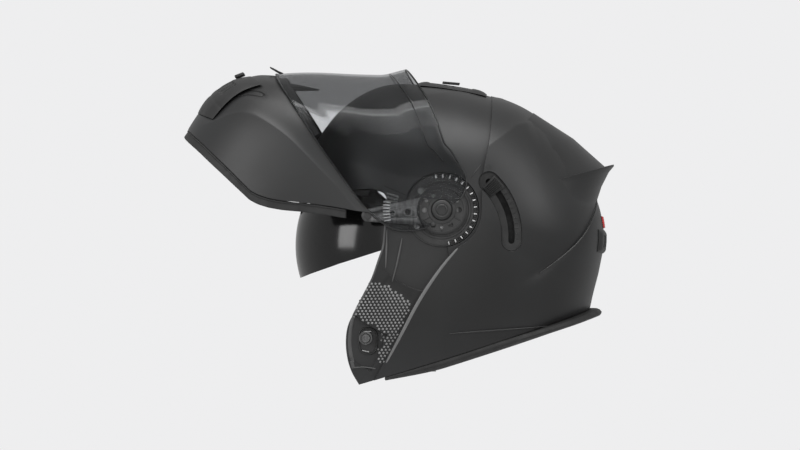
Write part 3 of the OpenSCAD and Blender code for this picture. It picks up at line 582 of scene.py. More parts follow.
red_plastic = surface(
    "red_plastic", (0.26, 0.010, 0.008), (0.34, 0.016, 0.012), (0.3, 0.42), 60, 600, 0.25, 0.08)
clear_lens = see_through("clear_lens", (0.90, 0.905, 0.91), (grey(0.02), grey(0.03)), 0.55, (0.03, 0.06))
smoke_lens = see_through(
    "smoke_lens", (0.10, 0.10, 0.11), (grey(0.006), grey(0.009)), 0.3, (0.10, 0.16), 0.62)
# Dark grey of the visor's edge beads, also used for the painted shade along the flank creases
visor_line = plain("visor_edge", (0.006, 0.012), (0.3, 0.4), 60, 500, 0.1, 0.05)
stud_paint = plain("panel_studs", (0.17, 0.23), (0.36, 0.48), 60, 900, 0.2, 0.08)
# Light grey of the painted highlight along the flank's step edge
painted_edge_highlight = plain("painted_step_highlight", (0.11, 0.14), (0.42, 0.52), 60, 900, 0.2, 0.06)
# Grey of the rubber edge bead and the cap line, also used for the painted highlights on the pillar ridges
trim_and_highlight_grey = plain("edge_rubber_and_highlight", (0.045, 0.065), (0.42, 0.55), 50, 700, 0.3, 0.1)
knob_grip = plain("knob_grip", (0.016, 0.026), (0.6, 0.7), 60, 700, 0.3, 0.08, spec=0.25)


# Outlines in the side view
shell_front = [
    (150, 3), (118, 7), (79, 19), (56, 19), (48.5, 12), (48.5, -5), (50.2, -16.7), (51.2, -32.6),
    (55.8, -44.2), (62.3, -64.2), (75.3, -88.4), (84.6, -102.3), (86.5, -122.8), (82.3, -143.2),
    (74, rim_z(74)),
]
shell_side = chaikin(shell_front, 3) + [(-200, rim_z(-200)), (-200, 160), (150, 160)]
rear_edge = [(70, -170), (51.8, -137.6), (37.8, -111.3), (22.9, -81.7), (2.9, -51.6), (-12.4, -34.2)]
rear_edge += arc(36, 236, 186, 6) + [(-36, 30), (-43, 62), (-47, 95), (-50, 160)]
behind = [(-230, 160), (-230, -170)]
rear_side = chaikin(rear_edge, 3) + behind
rear_inner = chaikin([(x - shell_t, z + 0.6) for x, z in rear_edge], 3) + behind
fan_r = 74.5
fan = [(0, 0), (-6.3, -41.0), (2.5, -51.0), (17.1, -72.2)] + arc(fan_r, -74.8, 22.5, 32)
grown_fan = [(0, 0), (-9.6, -41.7), (-0.7, -52.7), (14.1, -73.8)] + arc(fan_r + 3, -76, 24.8, 33)


def latch_side(grow, spread, n):
    """Recess of the latch in the flank, a sector round the hinge."""
    r0, r1 = latch_r + latch_reach[0] - grow, latch_r + latch_reach[1] + grow
    a0, a1 = latch_a + latch_span[0] - spread, latch_a + latch_span[1] + spread
    return arc(r1, a0, a1, n) + arc(r0, a1, a0, n)


def track_side(h):
    """Outline round the slider's curved track, h wide to each side."""
    a0, a1 = 134, 184
    start, end = polar(track_r, a0, track_at), polar(track_r, a1, track_at)
    return (arc(track_r + h, a0, a1, 20, track_at) + arc(h, a1 + 15, a1 + 165, 11, end)
            + arc(track_r - h, a1, a0, 20, track_at) + arc(h, a0 + 195, a0 + 345, 11, start))


# Outer shell with its relief
def rear_relief(x, z, y):
    side = np.clip(np.abs(y) / 30, 0, 1)
    e = side * fold(x, z, [(-19.3, 41.5), (-42, 57.5), (-66, 75.3), (-84, 80)], 1.7, 16, 4.5, 0.1)
    e += fold(x, z, [(-26, 28.8), (-31, 34), (-36, 42)], 1.0, 7, 2.5, 0.25)
    rising = [(-66, -70), (-87.2, -57.2), (-127.4, -26.3), (-141, -4), (-150, 30)]
    e -= side * fold(x, z, rising, 1.6, 3.0, 15, 0.18)
    level = [(-6, -111), (-20.5, -109.4), (-60, -107.2), (-105.1, -104.6), (-140, -104)]
    e -= fold(x, z, level, 1.0, 2.2, 9, 0.08)
    crown = np.clip(1.6 - np.abs(np.abs(y) - 24) / 30, 0, 1)
    e += crown * fold(x, z, [(-46, 101), (-60, 104), (-100, 96)], 1.1, 8, 4, 0.2)
    return e + dimple(x, z, (-39, 34.4), 4.2, 0.9)


def front_relief(x, z, y):
    e = fold(x, z, [(48.8, -14), (48.8, -34), (49.5, -52)], 0.5, 2.0, 1.6, 0.12)
    e += fold(x, z, [(35.3, -24), (37.4, -38), (39.5, -50.2), (45, -65)], 0.5, 1.6, 3.0, 0.12)
    e -= fold(x, z, [(52.5, -64), (46, -68), (37, -75), (27, -82)], 1.2, 2.0, 5.0, 0.08)
    e += fold(x, z, [(21.4, 102.8), (-7.4, 107.4), (-36.3, 109.7)], 0.6, 9, 4, 0.2)
    return e + dimple(x, z, (19, -48.4), 4.6, 1.3)


def spoiler():
    """Rear spoiler: a lip that carries the crown on and fades into the flanks."""
    half = 86
    root, tip, low = np.array([-85.6, 88.6]), np.array([-160.2, 41.5]), np.array([-143.6, 8.0])
    ratio = float(form_r(math.degrees(math.atan2(tip[1], tip[0]))) / np.linalg.norm(tip))
    above, below = np.array([-0.533, 0.846]) * 1.6, np.array([-0.905, -0.425]) * 1.6
    top, floor = root + above, low + below
    rows = []
    for u in np.linspace(-1, 1, 91):
        k = (1 - (abs(u) * half / half_w) ** blunt) ** (1 / blunt)
        edge = tip * (1 - u * u * (1.01 - ratio))
        under = edge + below
        crease = 1.2 * (1 - u * u)
        section = [
            root + [8, -10], top, top + (edge + above - top) * 0.5 + [0.1, -0.2],
            edge + above * 0.9 + [6, -3.9 - 0.3 * crease], edge + above * 0.95 + [1.5, -0.9],
            edge + [-1.2, 0.75], edge + [-1.42, -0.45], under + [0.2, -0.3],
            under + (floor - under) * 0.2 + [1.3 * crease, 0.7 * crease],
            under + (floor - under) * 0.6 + [1.5 * crease, 0.8 * crease], floor, low + [16, 4],
        ]
        rows.append([(k * x, u * half, k * z) for x, z in section])
    return loft("spoiler", rows)


def outer_shell():
    front = egg("front_level", (-level_gap, -flank_step), flank_step, 420, 150, front_relief)
    rear = cut(egg("rear_level", (0, 0), 0, 420, 150, rear_relief), rear_side, -wide, wide, "INTERSECT")
    shell = cut(combine(front, rear, "UNION"), shell_side, -wide, wide, "INTERSECT")
    inner = egg("inner_front", (-shell_t - level_gap, -flank_step - shell_t), flank_step, 160, 60)
    inner_rear = egg("inner_rear", (-shell_t, -shell_t), 0, 160, 60)
    combine(inner, cut(inner_rear, rear_inner, 1 - wide, wide - 1, "INTERSECT"), "UNION")
    for s, _ in SIDES:
        for shape in (circle(pocket_r + 3), grown_fan):
            cut(inner, shape, s * (pocket_y - 2.5), s * (wide - 1))
        cut(inner, latch_side(3, 1.4, 20), s * (latch_floor - 2.5), s * (wide - 1))
    combine(combine(shell, spoiler(), "UNION"), inner)
    for s, _ in SIDES:
        for shape in (circle(pocket_r), fan):
            cut(shell, shape, s * pocket_y, s * (wide + 1))
        cut(shell, latch_side(0, 0, 19), s * latch_floor, s * (wide + 1))
    cut(shell, track_side(track_half), track_y - 4.5, wide + 1)
    shell.name = "shell_body"
    return finished(shell, shell_paint, 32)


keep(outer_shell(), "outer_shell", "shell")


# Edges of the chin bar and the clear visor, as side-view points with both raised
edges = {
    "chin_top": [(146, 122.8), (137.5, 104), (119, 76), (100, 47), (80, 20), (62, -3)],
    "chin_low": [(236.7, 68.3), (225, 57.5), (205, 39), (185, 20.7), (164.6, 1.9), (101.4, -3.4),
                 (60.5, -11.2)],
    "visor_top": [(33, 129), (23.3, 115.3), (10.2, 94.9), (-0.9, 59.5), (-7.4, 53), (-14.9, 40), (-22.3, 26),
                  (-17, 10)],
    "visor_low": [(147, 124.5), (138.5, 106), (120, 78), (101, 49), (81.5, 22), (63.5, -1), (39, -17.6),
                  (10, -14)],
}


def edge_table(edge):
    """Closed angle of an edge for angles towards the flank, smoothed."""
    rows = []
    for i, (x, z) in enumerate(edge):
        a = math.degrees(math.atan2(z, x)) - close_angle
        share = min((math.hypot(x, z) / float(form_r(a))) ** (blunt / 2), 1)
        rows.append((math.degrees(math.acos(share)) if i else 0, a))
    return np.array(chaikin([(-t, a) for t, a in reversed(rows[1:])] + rows)).T


tables = {name: edge_table(edge) for name, edge in edges.items()}


def edge_angle(name, t):
    return np.interp(t, *tables[name])


def arc_angle(a, t, d):
    """Angle about the hinge that a distance d spans on the form."""
    return np.degrees(d / (form_r(a) * np.cos(np.radians(t)) ** (2 / blunt)))


def band(name, tmax, nt, na, dr, dw, m0=0.0, m1=0.0, relief=None):
    """Grid of points between a piece's two edges, raised as in the photograph."""
    t = np.linspace(-tmax, tmax, nt)[:, None]
    b0, b1 = edge_angle(name + "_low", t), edge_angle(name + "_top", t)
    a0, a1 = b0 + arc_angle(b0, t, m0), b1 - arc_angle(b1, t, m1)
    a = a0 + (a1 - a0) * np.linspace(0, 1, na)[None, :]
    t = t + 0 * a
    p = turn(egg_points(a, t, dr, dw), close_angle)
    if relief is not None:
        e = relief(p[..., 0], p[..., 2], p[..., 1])
        p = turn(egg_points(a, t, dr + e, dw + e), close_angle)
    return p


def edge_points(edge, t, m, dr, dw):
    """Points beside an edge, m further up the form, raised as in the photograph."""
    a = edge_angle(edge, t)
    return turn(egg_points(a + arc_angle(a, t, m), t, dr, dw), close_angle)


def px(*points):
    """Pixels of the photo as side-view millimetres about the hinge."""
    hinge, pixel = (441, 210), 0.93
    return [((hinge[0] - x) * pixel, (hinge[1] - y) * pixel) for x, y in points]


# Chin bar
ridge = chaikin(px((204, 128), (222, 121), (240, 115), (256, 115), (272, 124), (294, 140), (317, 164),
                   (350, 197), (366, 216)))
brow_line = chaikin(px((201, 115), (222, 104), (243, 93), (256, 94), (271, 98)))


def chin_relief(x, z, y):
    """The field above the ridge lies lower, and a groove runs along the brow line."""
    side = np.clip((np.abs(y) - 8) / 26, 0, 1)
    d, s, place = line_distance(x, z, ridge)
    field = np.where(s < 0, 1 - np.exp(-d / 5.0), 0) * np.exp(-np.maximum(d - 26, 0) / 14)
    e = -2.4 * side * faded(place, 0.08, 0.05) * field
    d, s, place = line_distance(x, z, brow_line)
    e -= 1.3 * faded(place, 0.1, 0.15) * np.exp(-(d / 2.6) ** 2)
    return np.minimum(e, 0) - 0.02


def chin_bar():
    outer = band("chin", 79, 240, 110, 0, 0, 9, 0, chin_relief)
    inner = band("chin", 79, 240, 110, -chin_wall, -chin_wall, 9)
    return finished(skin("chin_bar_body", outer, inner), chin_paint, 40, 0.8, 60)


def studs(name, points, normals, radius, height, material, turn_by=0.0, top=0.45):
    """Many small four-sided studs standing out along their normals."""
    verts, faces = [], []
    for p, n in zip(points, normals):
        n = n / np.linalg.norm(n)
        u = np.cross([0, 0, 1.0], n)
        u /= np.linalg.norm(u)
        v = np.cross(n, u)
        b = len(verts)
        for size, h in ((radius, -0.35), (top * radius, height)):
            verts += [p + h * n + size * (math.cos(w) * u + math.sin(w) * v)
                      for w in turn_by + PI / 2 * np.arange(4)]
        faces += [(b + k, b + (k + 1) % 4, b + 4 + (k + 1) % 4, b + 4 + k) for k in range(4)]
        faces += [(b + 4, b + 5, b + 6, b + 7), (b + 3, b + 2, b + 1, b)]
    return make(name, verts, faces, material, 0)


def edge_studs(edge, reach, n, m, depth, root, radius, height):
    """A row of small studs along an edge."""
    t = np.linspace(-reach, reach, n)
    at = edge_points(edge, t, m, depth, depth)
    return studs("row", at, at - edge_points(edge, t, m, root, root), radius, height, plastic)


def chin_lip():
    """Rubber trim along the lower edge, with a ribbed bead where it meets the shell."""
    section = [(0.5, -0.9), (1.3, -0.36), (3.0, -0.5), (6.4, -0.9), (7.0, -0.4), (8.0, -0.36), (8.5, -0.9),
               (8.5, -4.8), (0.9, -4.8), (0.4, -3.9)]
    t = np.linspace(-73.6, 73.6, 260)
    deepest = -3 - 1.8 * np.cos(np.radians(t)) ** 4
    rows = []
    for m, d in section:
        d = np.maximum(d, deepest)
        rows.append(edge_points("chin_low", t, m, d, d))
    lip = loft("lip", np.stack(rows, axis=1), rubber, 30)
    return join("chin_lip", [lip, edge_studs("chin_low", 72, 170, 7.5, -0.48, -9, 0.7, 0.3)])


def eyeport_gasket():
    """Rubber gasket of the chin bar with its row of small teeth."""
    section = [(4.0, -3.5), (-3.4, -3.5), (-4.4, -4.4), (-3.6, -6.3), (3.6, -6.3), (4.6, -5.0)]
    t = np.linspace(-57.5, 57.5, 200)
    rows = [edge_points("chin_top", t, m, d, d) for m, d in section]
    strip = loft("gasket", np.stack(rows, axis=1), seal_rubber, 40)
    return join("eyeport_gasket", [strip, edge_studs("chin_top", 56, 130, 3.4, -3.9, -12, 0.9, 0.5)])


def chin_inside():
    """Impact liner of the chin bar, with grooves along and across it."""
    reach, nt, na = 38, 90, 40
    low, top = 14.5, 8
    u = np.linspace(0, 1, nt)[:, None]
    v = np.linspace(0, 1, na)[None, :]
    edge = np.minimum(1, np.minimum(np.minimum(u, 1 - u) * 9, np.minimum(v, 1 - v) * 6))
    edge = np.sqrt(edge * (2 - edge))
    across = sum(np.exp(-((u - g) / 0.012) ** 2) for g in (0.2, 0.4, 0.6, 0.8))
    groove = 1.6 * np.exp(-((v - 0.5) / 0.03) ** 2) + 1.2 * across
    depth = -chin_wall - 22 + (1 - edge) * 9 + groove * edge
    outer = band("chin", reach, nt, na, -chin_wall - 0.4, -chin_wall - 0.4, low, top)
    return skin("chin_bar_foam", outer, band("chin", reach, nt, na, depth, depth, low, top), foam, 60)


keep(chin_bar(), "chin_shell", "chin_bar")
keep(chin_lip(), "chin_trim", "chin_bar")
keep(eyeport_gasket(), "chin_gasket", "chin_bar")
keep(chin_inside(), "chin_liner", "chin_bar")


# Clear visor
def visor_sheet():
    outer = band("visor", 87, 260, 90, 3.0, -0.8)
    return skin("clear_visor_sheet", outer, band("visor", 87, 260, 90, 0.8, -3), clear_lens, 50)


def visor_edges():
    """The dark ground edge of the visor and the line of its moulded border."""
    pieces = []
    for edge, reach, n, m, r in (("visor_top", 86, 400, -0.6, 0.75), ("visor_low", 86, 400, 0.6, 0.7),
                                 ("visor_top", 74, 340, -15.5, 0.4)):
        path = edge_points(edge, np.linspace(-reach, reach, n), m, 2.35, -1.45)
        pieces.append(bead("edge", path, r, visor_line, 6))
    return join("visor_border", pieces)


keep(visor_sheet(), "clear_visor", "visor")
keep(visor_edges(), None, "visor")


# Sun visor, turned about its own pivots
def revolved(e0, e1, n, steps):
    """The sun visor's form turned about its pivots, between two depths."""
    t = np.radians(np.linspace(-86.4, 86.4, steps))
    r, y = np.cos(t) ** (2 / blunt), np.sign(t) * np.abs(np.sin(t)) ** (2 / blunt)
    near, far = [np.stack([(lens_r - e) * r, (lens_half - e) * y], axis=-1) for e in (e0, e1)]
    rim = np.concatenate([near, far[::-1]])
    sections = [[(lens_at[0] + q * c, w, lens_at[1] + q * d) for q, w in rim] for c, d in circle(1, n=n)]
    return loft("revolved", sections, None, 0, True)


def sun_visor():
    side = [(150, 2), (104, 3), (92, 12), (82, 18), (60, 19), (46.5, 7), (34, -18), (22, -26), (20, -38),
            (30, -44), (53, -36), (91.6, -48.4), (118, -58), (132, -64), (150, -66)]
    o = cut(revolved(0, lens_t, 220, 90), side, -wide, wide, "INTERSECT")
    for s, _ in SIDES:
        cut(o, circle(12, lens_at, 64), s * (lens_half - 3.6), s * (lens_half - 0.8), "UNION")
        bore(o, circle(4.05, lens_at, 48), s)
    o.name = "sun_visor_sheet"
    return finished(o, smoke_lens, 40)


keep(sun_visor(), "sun_lens", "sun_visor")


# Soft pieces
def vertices(o):
    p = np.array([v.co[:] for v in o.data.vertices])
    return p, np.array([v.normal[:] for v in o.data.vertices])


def move_to(o, points):
    o.data.vertices.foreach_set("co", points.ravel())
    o.data.update()


def puff(o, cap, seat):
    """Swells a closed pad as cloth under pressure; seat(point, normal) tells where it lies on its carrier."""
    frames = 20
    m = o.modifiers.new("even", "REMESH")
    m.mode = "VOXEL"
    m.voxel_size = 3.6 * MM
    applied(o)
    rest, normal = vertices(o)
    c = o.modifiers.new("swell", "CLOTH")
    c.settings.quality = 4
    c.settings.mass = 0.2
    c.settings.tension_stiffness = 12
    c.settings.compression_stiffness = 12
    c.settings.bending_stiffness = 0.4
    c.settings.use_pressure = True
    c.settings.uniform_pressure_force = 4
    c.settings.effector_weights.gravity = 0
    scene = bpy.context.scene
    scene.frame_start, scene.frame_end = 1, frames
    c.point_cache.frame_start, c.point_cache.frame_end = 1, frames
    for f in range(1, frames + 1):
        scene.frame_set(f)
    applied(o)
    scene.frame_set(1)
    moved = vertices(o)[0] - rest
    size = np.linalg.norm(moved, axis=1, keepdims=True)
    limit = np.where(seat(rest / MM, normal), 0.15, cap)[:, None] * MM
    move_to(o, rest + moved * np.minimum(1, limit / np.maximum(size, 1e-9)))
    o.modifiers.new("fine", "SUBSURF").levels = 1
    applied(o)
    soften(o, 180)


def press(o, depth):
    """Draws sewn seams into a soft piece: depth(points, normals) in millimetres."""
    p, n = vertices(o)
    move_to(o, p - n * (depth(p / MM, n)[:, None] * MM))
    return o


def dent(d, depth, width):
    return depth * np.exp(-(d / width) ** 2)


def bulge(u, v):
    return np.maximum(np.sin(PI * u) * np.sin(PI * v), 0) ** 0.35


def crown_pad():
    u = np.linspace(0, 1, 80)[:, None]
    v = np.linspace(0, 1, 56)[None, :]
    a, t = 30 + 135 * u + 0 * v, -52 + 104 * v + 0 * u
    dr, dw = foam_in[0] - 1.2, foam_in[1] - 1.2
    e = 7.2 * (0.35 + 0.65 * bulge(u, v))
    o = skin("crown_padding", egg_points(a, t, dr, dw), egg_points(a, t, dr - e, dw - e), lining, 180)
    puff(o, 1.6, lambda p, n: np.einsum("ij,ij->i", p, n) > 0)

    def seams(p, n):
        a = np.degrees(np.arctan2(p[:, 2], p[:, 0]))
        y = np.abs(p[:, 1])
        d = dent(y - 20, 1.5, 1.6) + dent(y - 44, 0.5, 1.4)
        d += sum(dent(a - q, 1.2, 1.3) for q in (56, 82, 108, 134))
        return np.where(np.einsum("ij,ij->i", p, n) < 0, d, 0)

    return press(o, seams)


def cheek_pad(name, side):
    corners = np.array([(62, -68), (74, -138), (-50, -100), (-48, -76)], float)
    u = np.linspace(0, 1, 54)[:, None]
    v = np.linspace(0, 1, 40)[None, :]
    weights = ((1 - u) * (1 - v), (1 - u) * v, u * v, u * (1 - v))
    p = sum(w[..., None] * c for w, c in zip(weights, corners))
    mid = p.reshape(-1, 2).mean(axis=0)
    x, z = np.moveaxis(mid + (p - mid) * 0.985, -1, 0)
    y = np.minimum(cheek_y - 0.2, flank_y(x, z, -8, -14))
    inner = np.stack([x, (y - 8 - 19 * bulge(u, v)) * side, z], axis=-1)
    o = skin(name, np.stack([x, y * side, z], axis=-1), inner, lining, 180)
    puff(o, 1.8, lambda q, n: n[:, 1] * side > 0.3)

    def seams(q, n):
        long = line_distance(q[:, 0], q[:, 2], [(-52, -90), (-20, -100), (20, -112), (76, -122)])[0]
        short = line_distance(q[:, 0], q[:, 2], [(34, -60), (40, -90), (44, -140)])[0]
        return np.where(n[:, 1] * side < 0.2, dent(long, 1.8, 1.8) + dent(short, 1.4, 1.6), 0)

    return press(o, seams)


# Lower rim
def rim_path(dr, dw, a1, n=240):
    """Line where the lower rim's plane meets the form, from one front end round the back to the other."""
    def rim_r(a):
        return -rim_drop / (np.sin(np.radians(a)) + rim_slope * np.cos(np.radians(a)))

    a0 = 205.0
    while rim_r(a0) >= form_r(a0) + dr:
        a0 += 0.1
    u = np.linspace(-1, 1, n + 1)
    a = a0 + (a1 - a0) * np.abs(u) ** 1.6
    x, z = rim_r(a) * np.cos(np.radians(a)), rim_r(a) * np.sin(np.radians(a))
    y = flank_y(x, z, dr, dw) * np.minimum(1, np.abs(u) * 20)
    return np.stack([x, np.sign(u) * y, z], axis=-1)


def swept(name, path, section, material, smooth, flare=(0.0, 0.0), wave=None, taper=0):
    """A section of inward and upward steps along a path that runs about level."""
    n, m = len(path) - 1, len(section)
    rows = []
    for i in range(n + 1):
        deep = 0.4 + 0.6 * math.sin(min(min(i, n - i) / taper, 1) * PI / 2) if taper else 1
        d = path[min(i + 1, n)] - path[max(i - 1, 0)]
        o = np.array([d[1], -d[0], 0]) / math.hypot(d[0], d[1])
        row = []
        for j, (inward, up) in enumerate(section):
            k = 1 + flare[inward > 0] * math.sin(PI * i / n) ** 4
            w = wave(i / n, j / m) if wave else 0
            row.append(path[i] + (inward * k + w) * o + [0, 0, up * deep + 0.4 * w])
        rows.append(row)
    return loft(name, rows, material, smooth)


def rim_lip():
    section = [
        (-2.6, -0.05), (-3.4, -1.2), (-3.9, -3.4), (-3.6, -4.9), (-1.8, -7.2), (0.4, -8.35), (3.2, -8.45),
        (5.5, -8.3), (6.7, -7.1), (6.6, -6.0), (4.6, -4.2), (3.1, -2.7), (2.6, -1.8), (3.0, -1.2), (2, -0.05),
    ]
    path = rim_path(-2, -2 - flank_step / 2, 288.5)
    return swept("rim_lip", path, section, rubber, 38, (2.5, 0.8), taper=22)


def neck_padding():
    section = [(7.6 * c, 9.9 + 9.6 * d) for c, d in circle(1, n=20)]

    def wrinkle(u, v):
        ripple = math.sin(u * 190 + 5 * math.sin(v * 6.3)) * math.sin(PI * v) ** 2
        return 0.35 * ripple * (0.6 + 0.4 * math.sin(u * 37)) + dent((v - 0.47) % 1.0, 1.1, 0.03)

    path = rim_path(-12.5, -12.5 - flank_step, 243, 260)
    return swept("neck_padding", path, section, lining, 180, wave=wrinkle)


soft = [keep(crown_pad(), "crown_liner", "shell")]
for s, side in SIDES:
    soft.append(keep(cheek_pad("cheek_padding_" + side, s), "cheek_pad_" + side, "shell"))
soft.append(keep(neck_padding(), "neck_roll", "shell"))
keep(rim_lip(), "rim_trim", "shell")


# Impact liner of the shell, with the two foams behind the cheek pads
def impact_liner():
    o = egg("impact_liner", foam_out, flank_step, 220, 84)
    side = [(140, 9), (79, 24), (46, 24), (43, 10), (40, -30), (40, -58), (-40, -70), (-180, -70),
            (-180, 150), (140, 150)]
    cut(o, side, -wide, wide, "INTERSECT")
    combine(o, egg("liner_hollow", foam_in, 0, 160, 60))
    below = [(-101, 22), (-50, 33), (10, 36), (73, 41), (73, 160), (-101, 160)]
    slabs = prism("slab", below, -37.3, -30.3)
    for y in (-15.3, 8.3, 30.3):
        cut(slabs, below, y, y + 7, "UNION")
    combine(o, combine(egg("channels", foam_channel, 0, 120, 48), slabs, "INTERSECT"))
    for s, _ in SIDES:
        for shape in (circle(pocket_r + 3.6), grown_fan):
            cut(o, shape, s * hub_wall_y, s * (wide - 1))
        cut(o, circle(23.9, speaker_at), s * 60, s * (speaker_y + 12.3))
        cut(o, circle(13.5, lens_at), s * 101.6, s * 120)
    cut(o, track_side(track_half + 1), track_y - 7.5, wide + 1)
    swing_side = [(20, -70), (160, -70), (160, 30), (100, 90), (50, 90), (14, 42), (14, -30)]
    combine(o, cut(revolved(-9, 4, 96, 24), swing_side, 1 - wide, wide - 1, "INTERSECT"))
    return finished(o, foam, 32)


def cheek_foam(s):
    """Foam behind the cheek pad."""
    shape = [(41, -50.5), (51, -70), (52, -99), (33, -98), (33, -92), (3, -92), (3, -101), (-47, -101),
             (-47, -70.8), (-40, -70.6), (40.6, -58.6)]
    o = egg("cheek_foam", foam_out, flank_step, 180, 72)
    cut(o, chaikin(shape, 1, True), s * (cheek_y + 0.8), s * (wide - 1), "INTERSECT")
    cut(o, grown_fan, s * hub_wall_y, s * (wide - 1))
    return finished(o, foam, 32, 1.0)


keep(impact_liner(), "eps_liner", "shell")
for s, side in SIDES:
    keep(cheek_foam(s), "cheek_foam_" + side, "shell")


# Speaker cups with their grilles
def speaker_cup(name, s):
    profile = [(22.9, 0), (23.6, 0.7), (23.6, 12), (0.02, 12), (0.02, 10.4), (22, 10.4), (22, 0.7), (22.3, 0)]
    parts = [lathe(name, profile, speaker_at, speaker_y, plastic, 72, s)]
    for r in (5, 9.5, 14, 18.5):
        ring = [(x, s * (speaker_y + 9.6), z) for x, z in circle(r, speaker_at, 48)]
        parts.append(bead("ring", ring, 0.7, dark_plastic, 6, True))
    for a in range(0, 360, 45):
        spoke = [(x, s * (speaker_y + 9.7), z) for x, z in (polar(r, a, speaker_at) for r in (4, 12, 21.9))]
        parts.append(bead("spoke", spoke, 0.65, dark_plastic, 6))
    return join(name, parts)


for s, side in SIDES:
    keep(speaker_cup("speaker_cup_" + side[0], s), "speaker_cup_" + side, "shell")


# Turned pieces: metal strikers, visor pins, rivets and screws, and the plastic hinge pins
def socket(o, at, out, depth, radius, s):
    """A hexagon socket in the end of a screw or pin."""
    return cut(o, circle(radius, at, 6), s * (out - depth), s * (out + 4))


striker = polar(latch_r, latch_a)
for s, side in SIDES:
    profile = [(0.02, 0), (6.4, 0), (6.4, 0.7), (6.0, 1.1), (3.5, 1.1), (3.5, 4.9), (4.3, 5.3), (4.3, 6.9),
               (3.7, 7.6), (0.02, 7.6)]
    pin = lathe("striker_" + side, profile, striker, latch_floor, dark_steel, 40, s)
    keep(socket(pin, striker, latch_floor + 7.6, 1.6, 2.0, s), "latch_pin_" + side, "shell")
    profile = [(0.02, 0), (9, 0), (9, 7.6), (8.6, 8.3), (8.0, 8.7), (7.2, 9.05), (6.2, hub_h), (0.02, hub_h)]
    hub = lathe("hub_" + side, profile, (0, 0), hub_y, plastic, 72, s)
    socket(hub, (0, 0), hub_y + hub_h, 2.4, 4.2, s)
    ring = [(5.0, -0.5), (5.6, -0.5), (5.6, 1), (5.0, 1)]
    combine(hub, lathe("ring", ring, (0, 0), hub_y + hub_h, None, 72, s))
    keep(hub, "hub_pin_" + side, "shell")

base_screws = [(19, 16.9), (21.9, -14.4)]
pins, screws, rivets = [], [], []
for s, _ in SIDES:
    profile = [(0.02, 0), (5.4, 0), (6, 0.4), (6, 1.4), (4, 1.4), (4, 8.4), (0.02, 8.4)]
    pin = lathe("visor_pin", profile, lens_at, lens_half - 5.4, dark_steel, 40, s)
    slot = [(-3.6, -0.5), (3.6, -0.5), (3.6, 0.5), (-3.6, 0.5)]
    slot = [(lens_at[0] + x, lens_at[1] + z) for x, z in slot]
    pins.append(cut(pin, slot, s * 102, s * 103.4))
    for at in base_screws:
        profile = [(0.02, 0), (2.6, 0), (3.2, 0.5), (3.2, 0.8), (2.9, 1.1), (0.02, 1.1)]
        screw = lathe("screw", profile, at, pocket_y + 0.8, dark_steel, 36, s)
        screws.append(socket(screw, at, pocket_y + 1.9, 0.8, 1.7, s))
    profile = [(0.02, 0.2), (2.2, 0), (4.2, 0.5), (5, 1.3), (5, 1.8), (2.5, 1.8), (2.5, 6.8), (0.02, 6.8)]
    rivets.append(lathe("rivet", profile, rivet_at, 99.2, steel, 40, s))
keep(join("visor_pins", pins), "lens_pin_set", "shell")
keep(join("base_screws", screws), "base_screw_set", "shell")
keep(join("strap_rivets", rivets), "strap_rivet_set", "shell")


# Base plates of the hinge: a plate with a toothed ring, a rack beside it, ribs and screw seats
def tooth(a, r0, r1, half, y0, y1, s, material, at=(0, 0)):
    """A tapered rib that points away from a centre."""
    c, d = polar(1, a)
    points = []
    for y, slope in ((y0, 0), (y1, 0.25)):
        for r, e in ((r0 + slope, slope - half), (r1 - slope, slope - half * 0.7),
                     (r1 - slope, half * 0.7 - slope), (r0 + slope, half - slope)):
            points.append((at[0] + r * c - e * d, s * y, at[1] + r * d + e * c))
    faces = [(0, 1, 2, 3), (7, 6, 5, 4), (0, 4, 5, 1), (1, 5, 6, 2), (2, 6, 7, 3), (3, 7, 4, 0)]
    return make("tooth", points, faces, material, 0)


def base_plate(side, s):
    profile = [(0.02, 0), (33.1, 0), (33.1, 1.6), (32.7, 2.0), (31.9, 2.0), (31.6, 1.3), (26.2, 1.3),
               (25.9, 2.0), (24.2, 2.0), (23.9, 1.4), (10.4, 1.4), (10.1, 2.0), (0.02, 2.0)]
    plate = lathe("base", profile, (0, 0), pocket_y, plastic, 120, s)
    for at in base_screws:
        cut(plate, circle(3.4, at, 36), s * (pocket_y + 0.8), s * wide)
    parts = [plate]
    for i in range(46):
        top, metal = (3.9, steel) if i % 3 == 0 else (2.6, plastic)
        parts.append(tooth(80 + 178 * i / 45, 28.6, 31.8, 0.85, pocket_y + 1.2, pocket_y + top, s, metal))
    for i in range(9):
        parts.append(tooth(-12 + 3.6 * i, 40, 51, 0.8, pocket_y + 0.1, pocket_y + 1.9, s, dark_steel))
    for a in (30, 55, -45, -65, 150, 210):
        parts.append(tooth(a, 11, 23.6, 0.5, pocket_y + 1.0, pocket_y + 1.95, s, plastic))
    return join("base_plate_" + side, parts)


for s, side in SIDES:
    keep(base_plate(side, s), "pivot_base_" + side, "shell")


# Panels of small studs on both flanks, the latch seats and the beads along the flanks' front
def inside(x, z, shape):
    hit = False
    for (x0, z0), (x1, z1) in zip(shape[-1:] + shape[:-1], shape):
        if (z0 > z) != (z1 > z) and x < x0 + (z - z0) * (x1 - x0) / (z1 - z0):
            hit = not hit
    return hit


def latch_place(x, z):
    """Whether a point lies over the latch's recess, and how far from its inner, outer and lower edge."""
    r, a = math.hypot(x, z), math.degrees(math.atan2(z, x)) - latch_a
    recessed = latch_reach[0] < r - latch_r < latch_reach[1] and latch_span[0] < a < latch_span[1]
    edges = [r - latch_r - q for q in latch_reach] + [r * math.radians(a - latch_span[0])]
    return recessed, min(abs(q) for q in edges)


def front_y(x, z):
    return float(flank_y(x, z, *front_off))


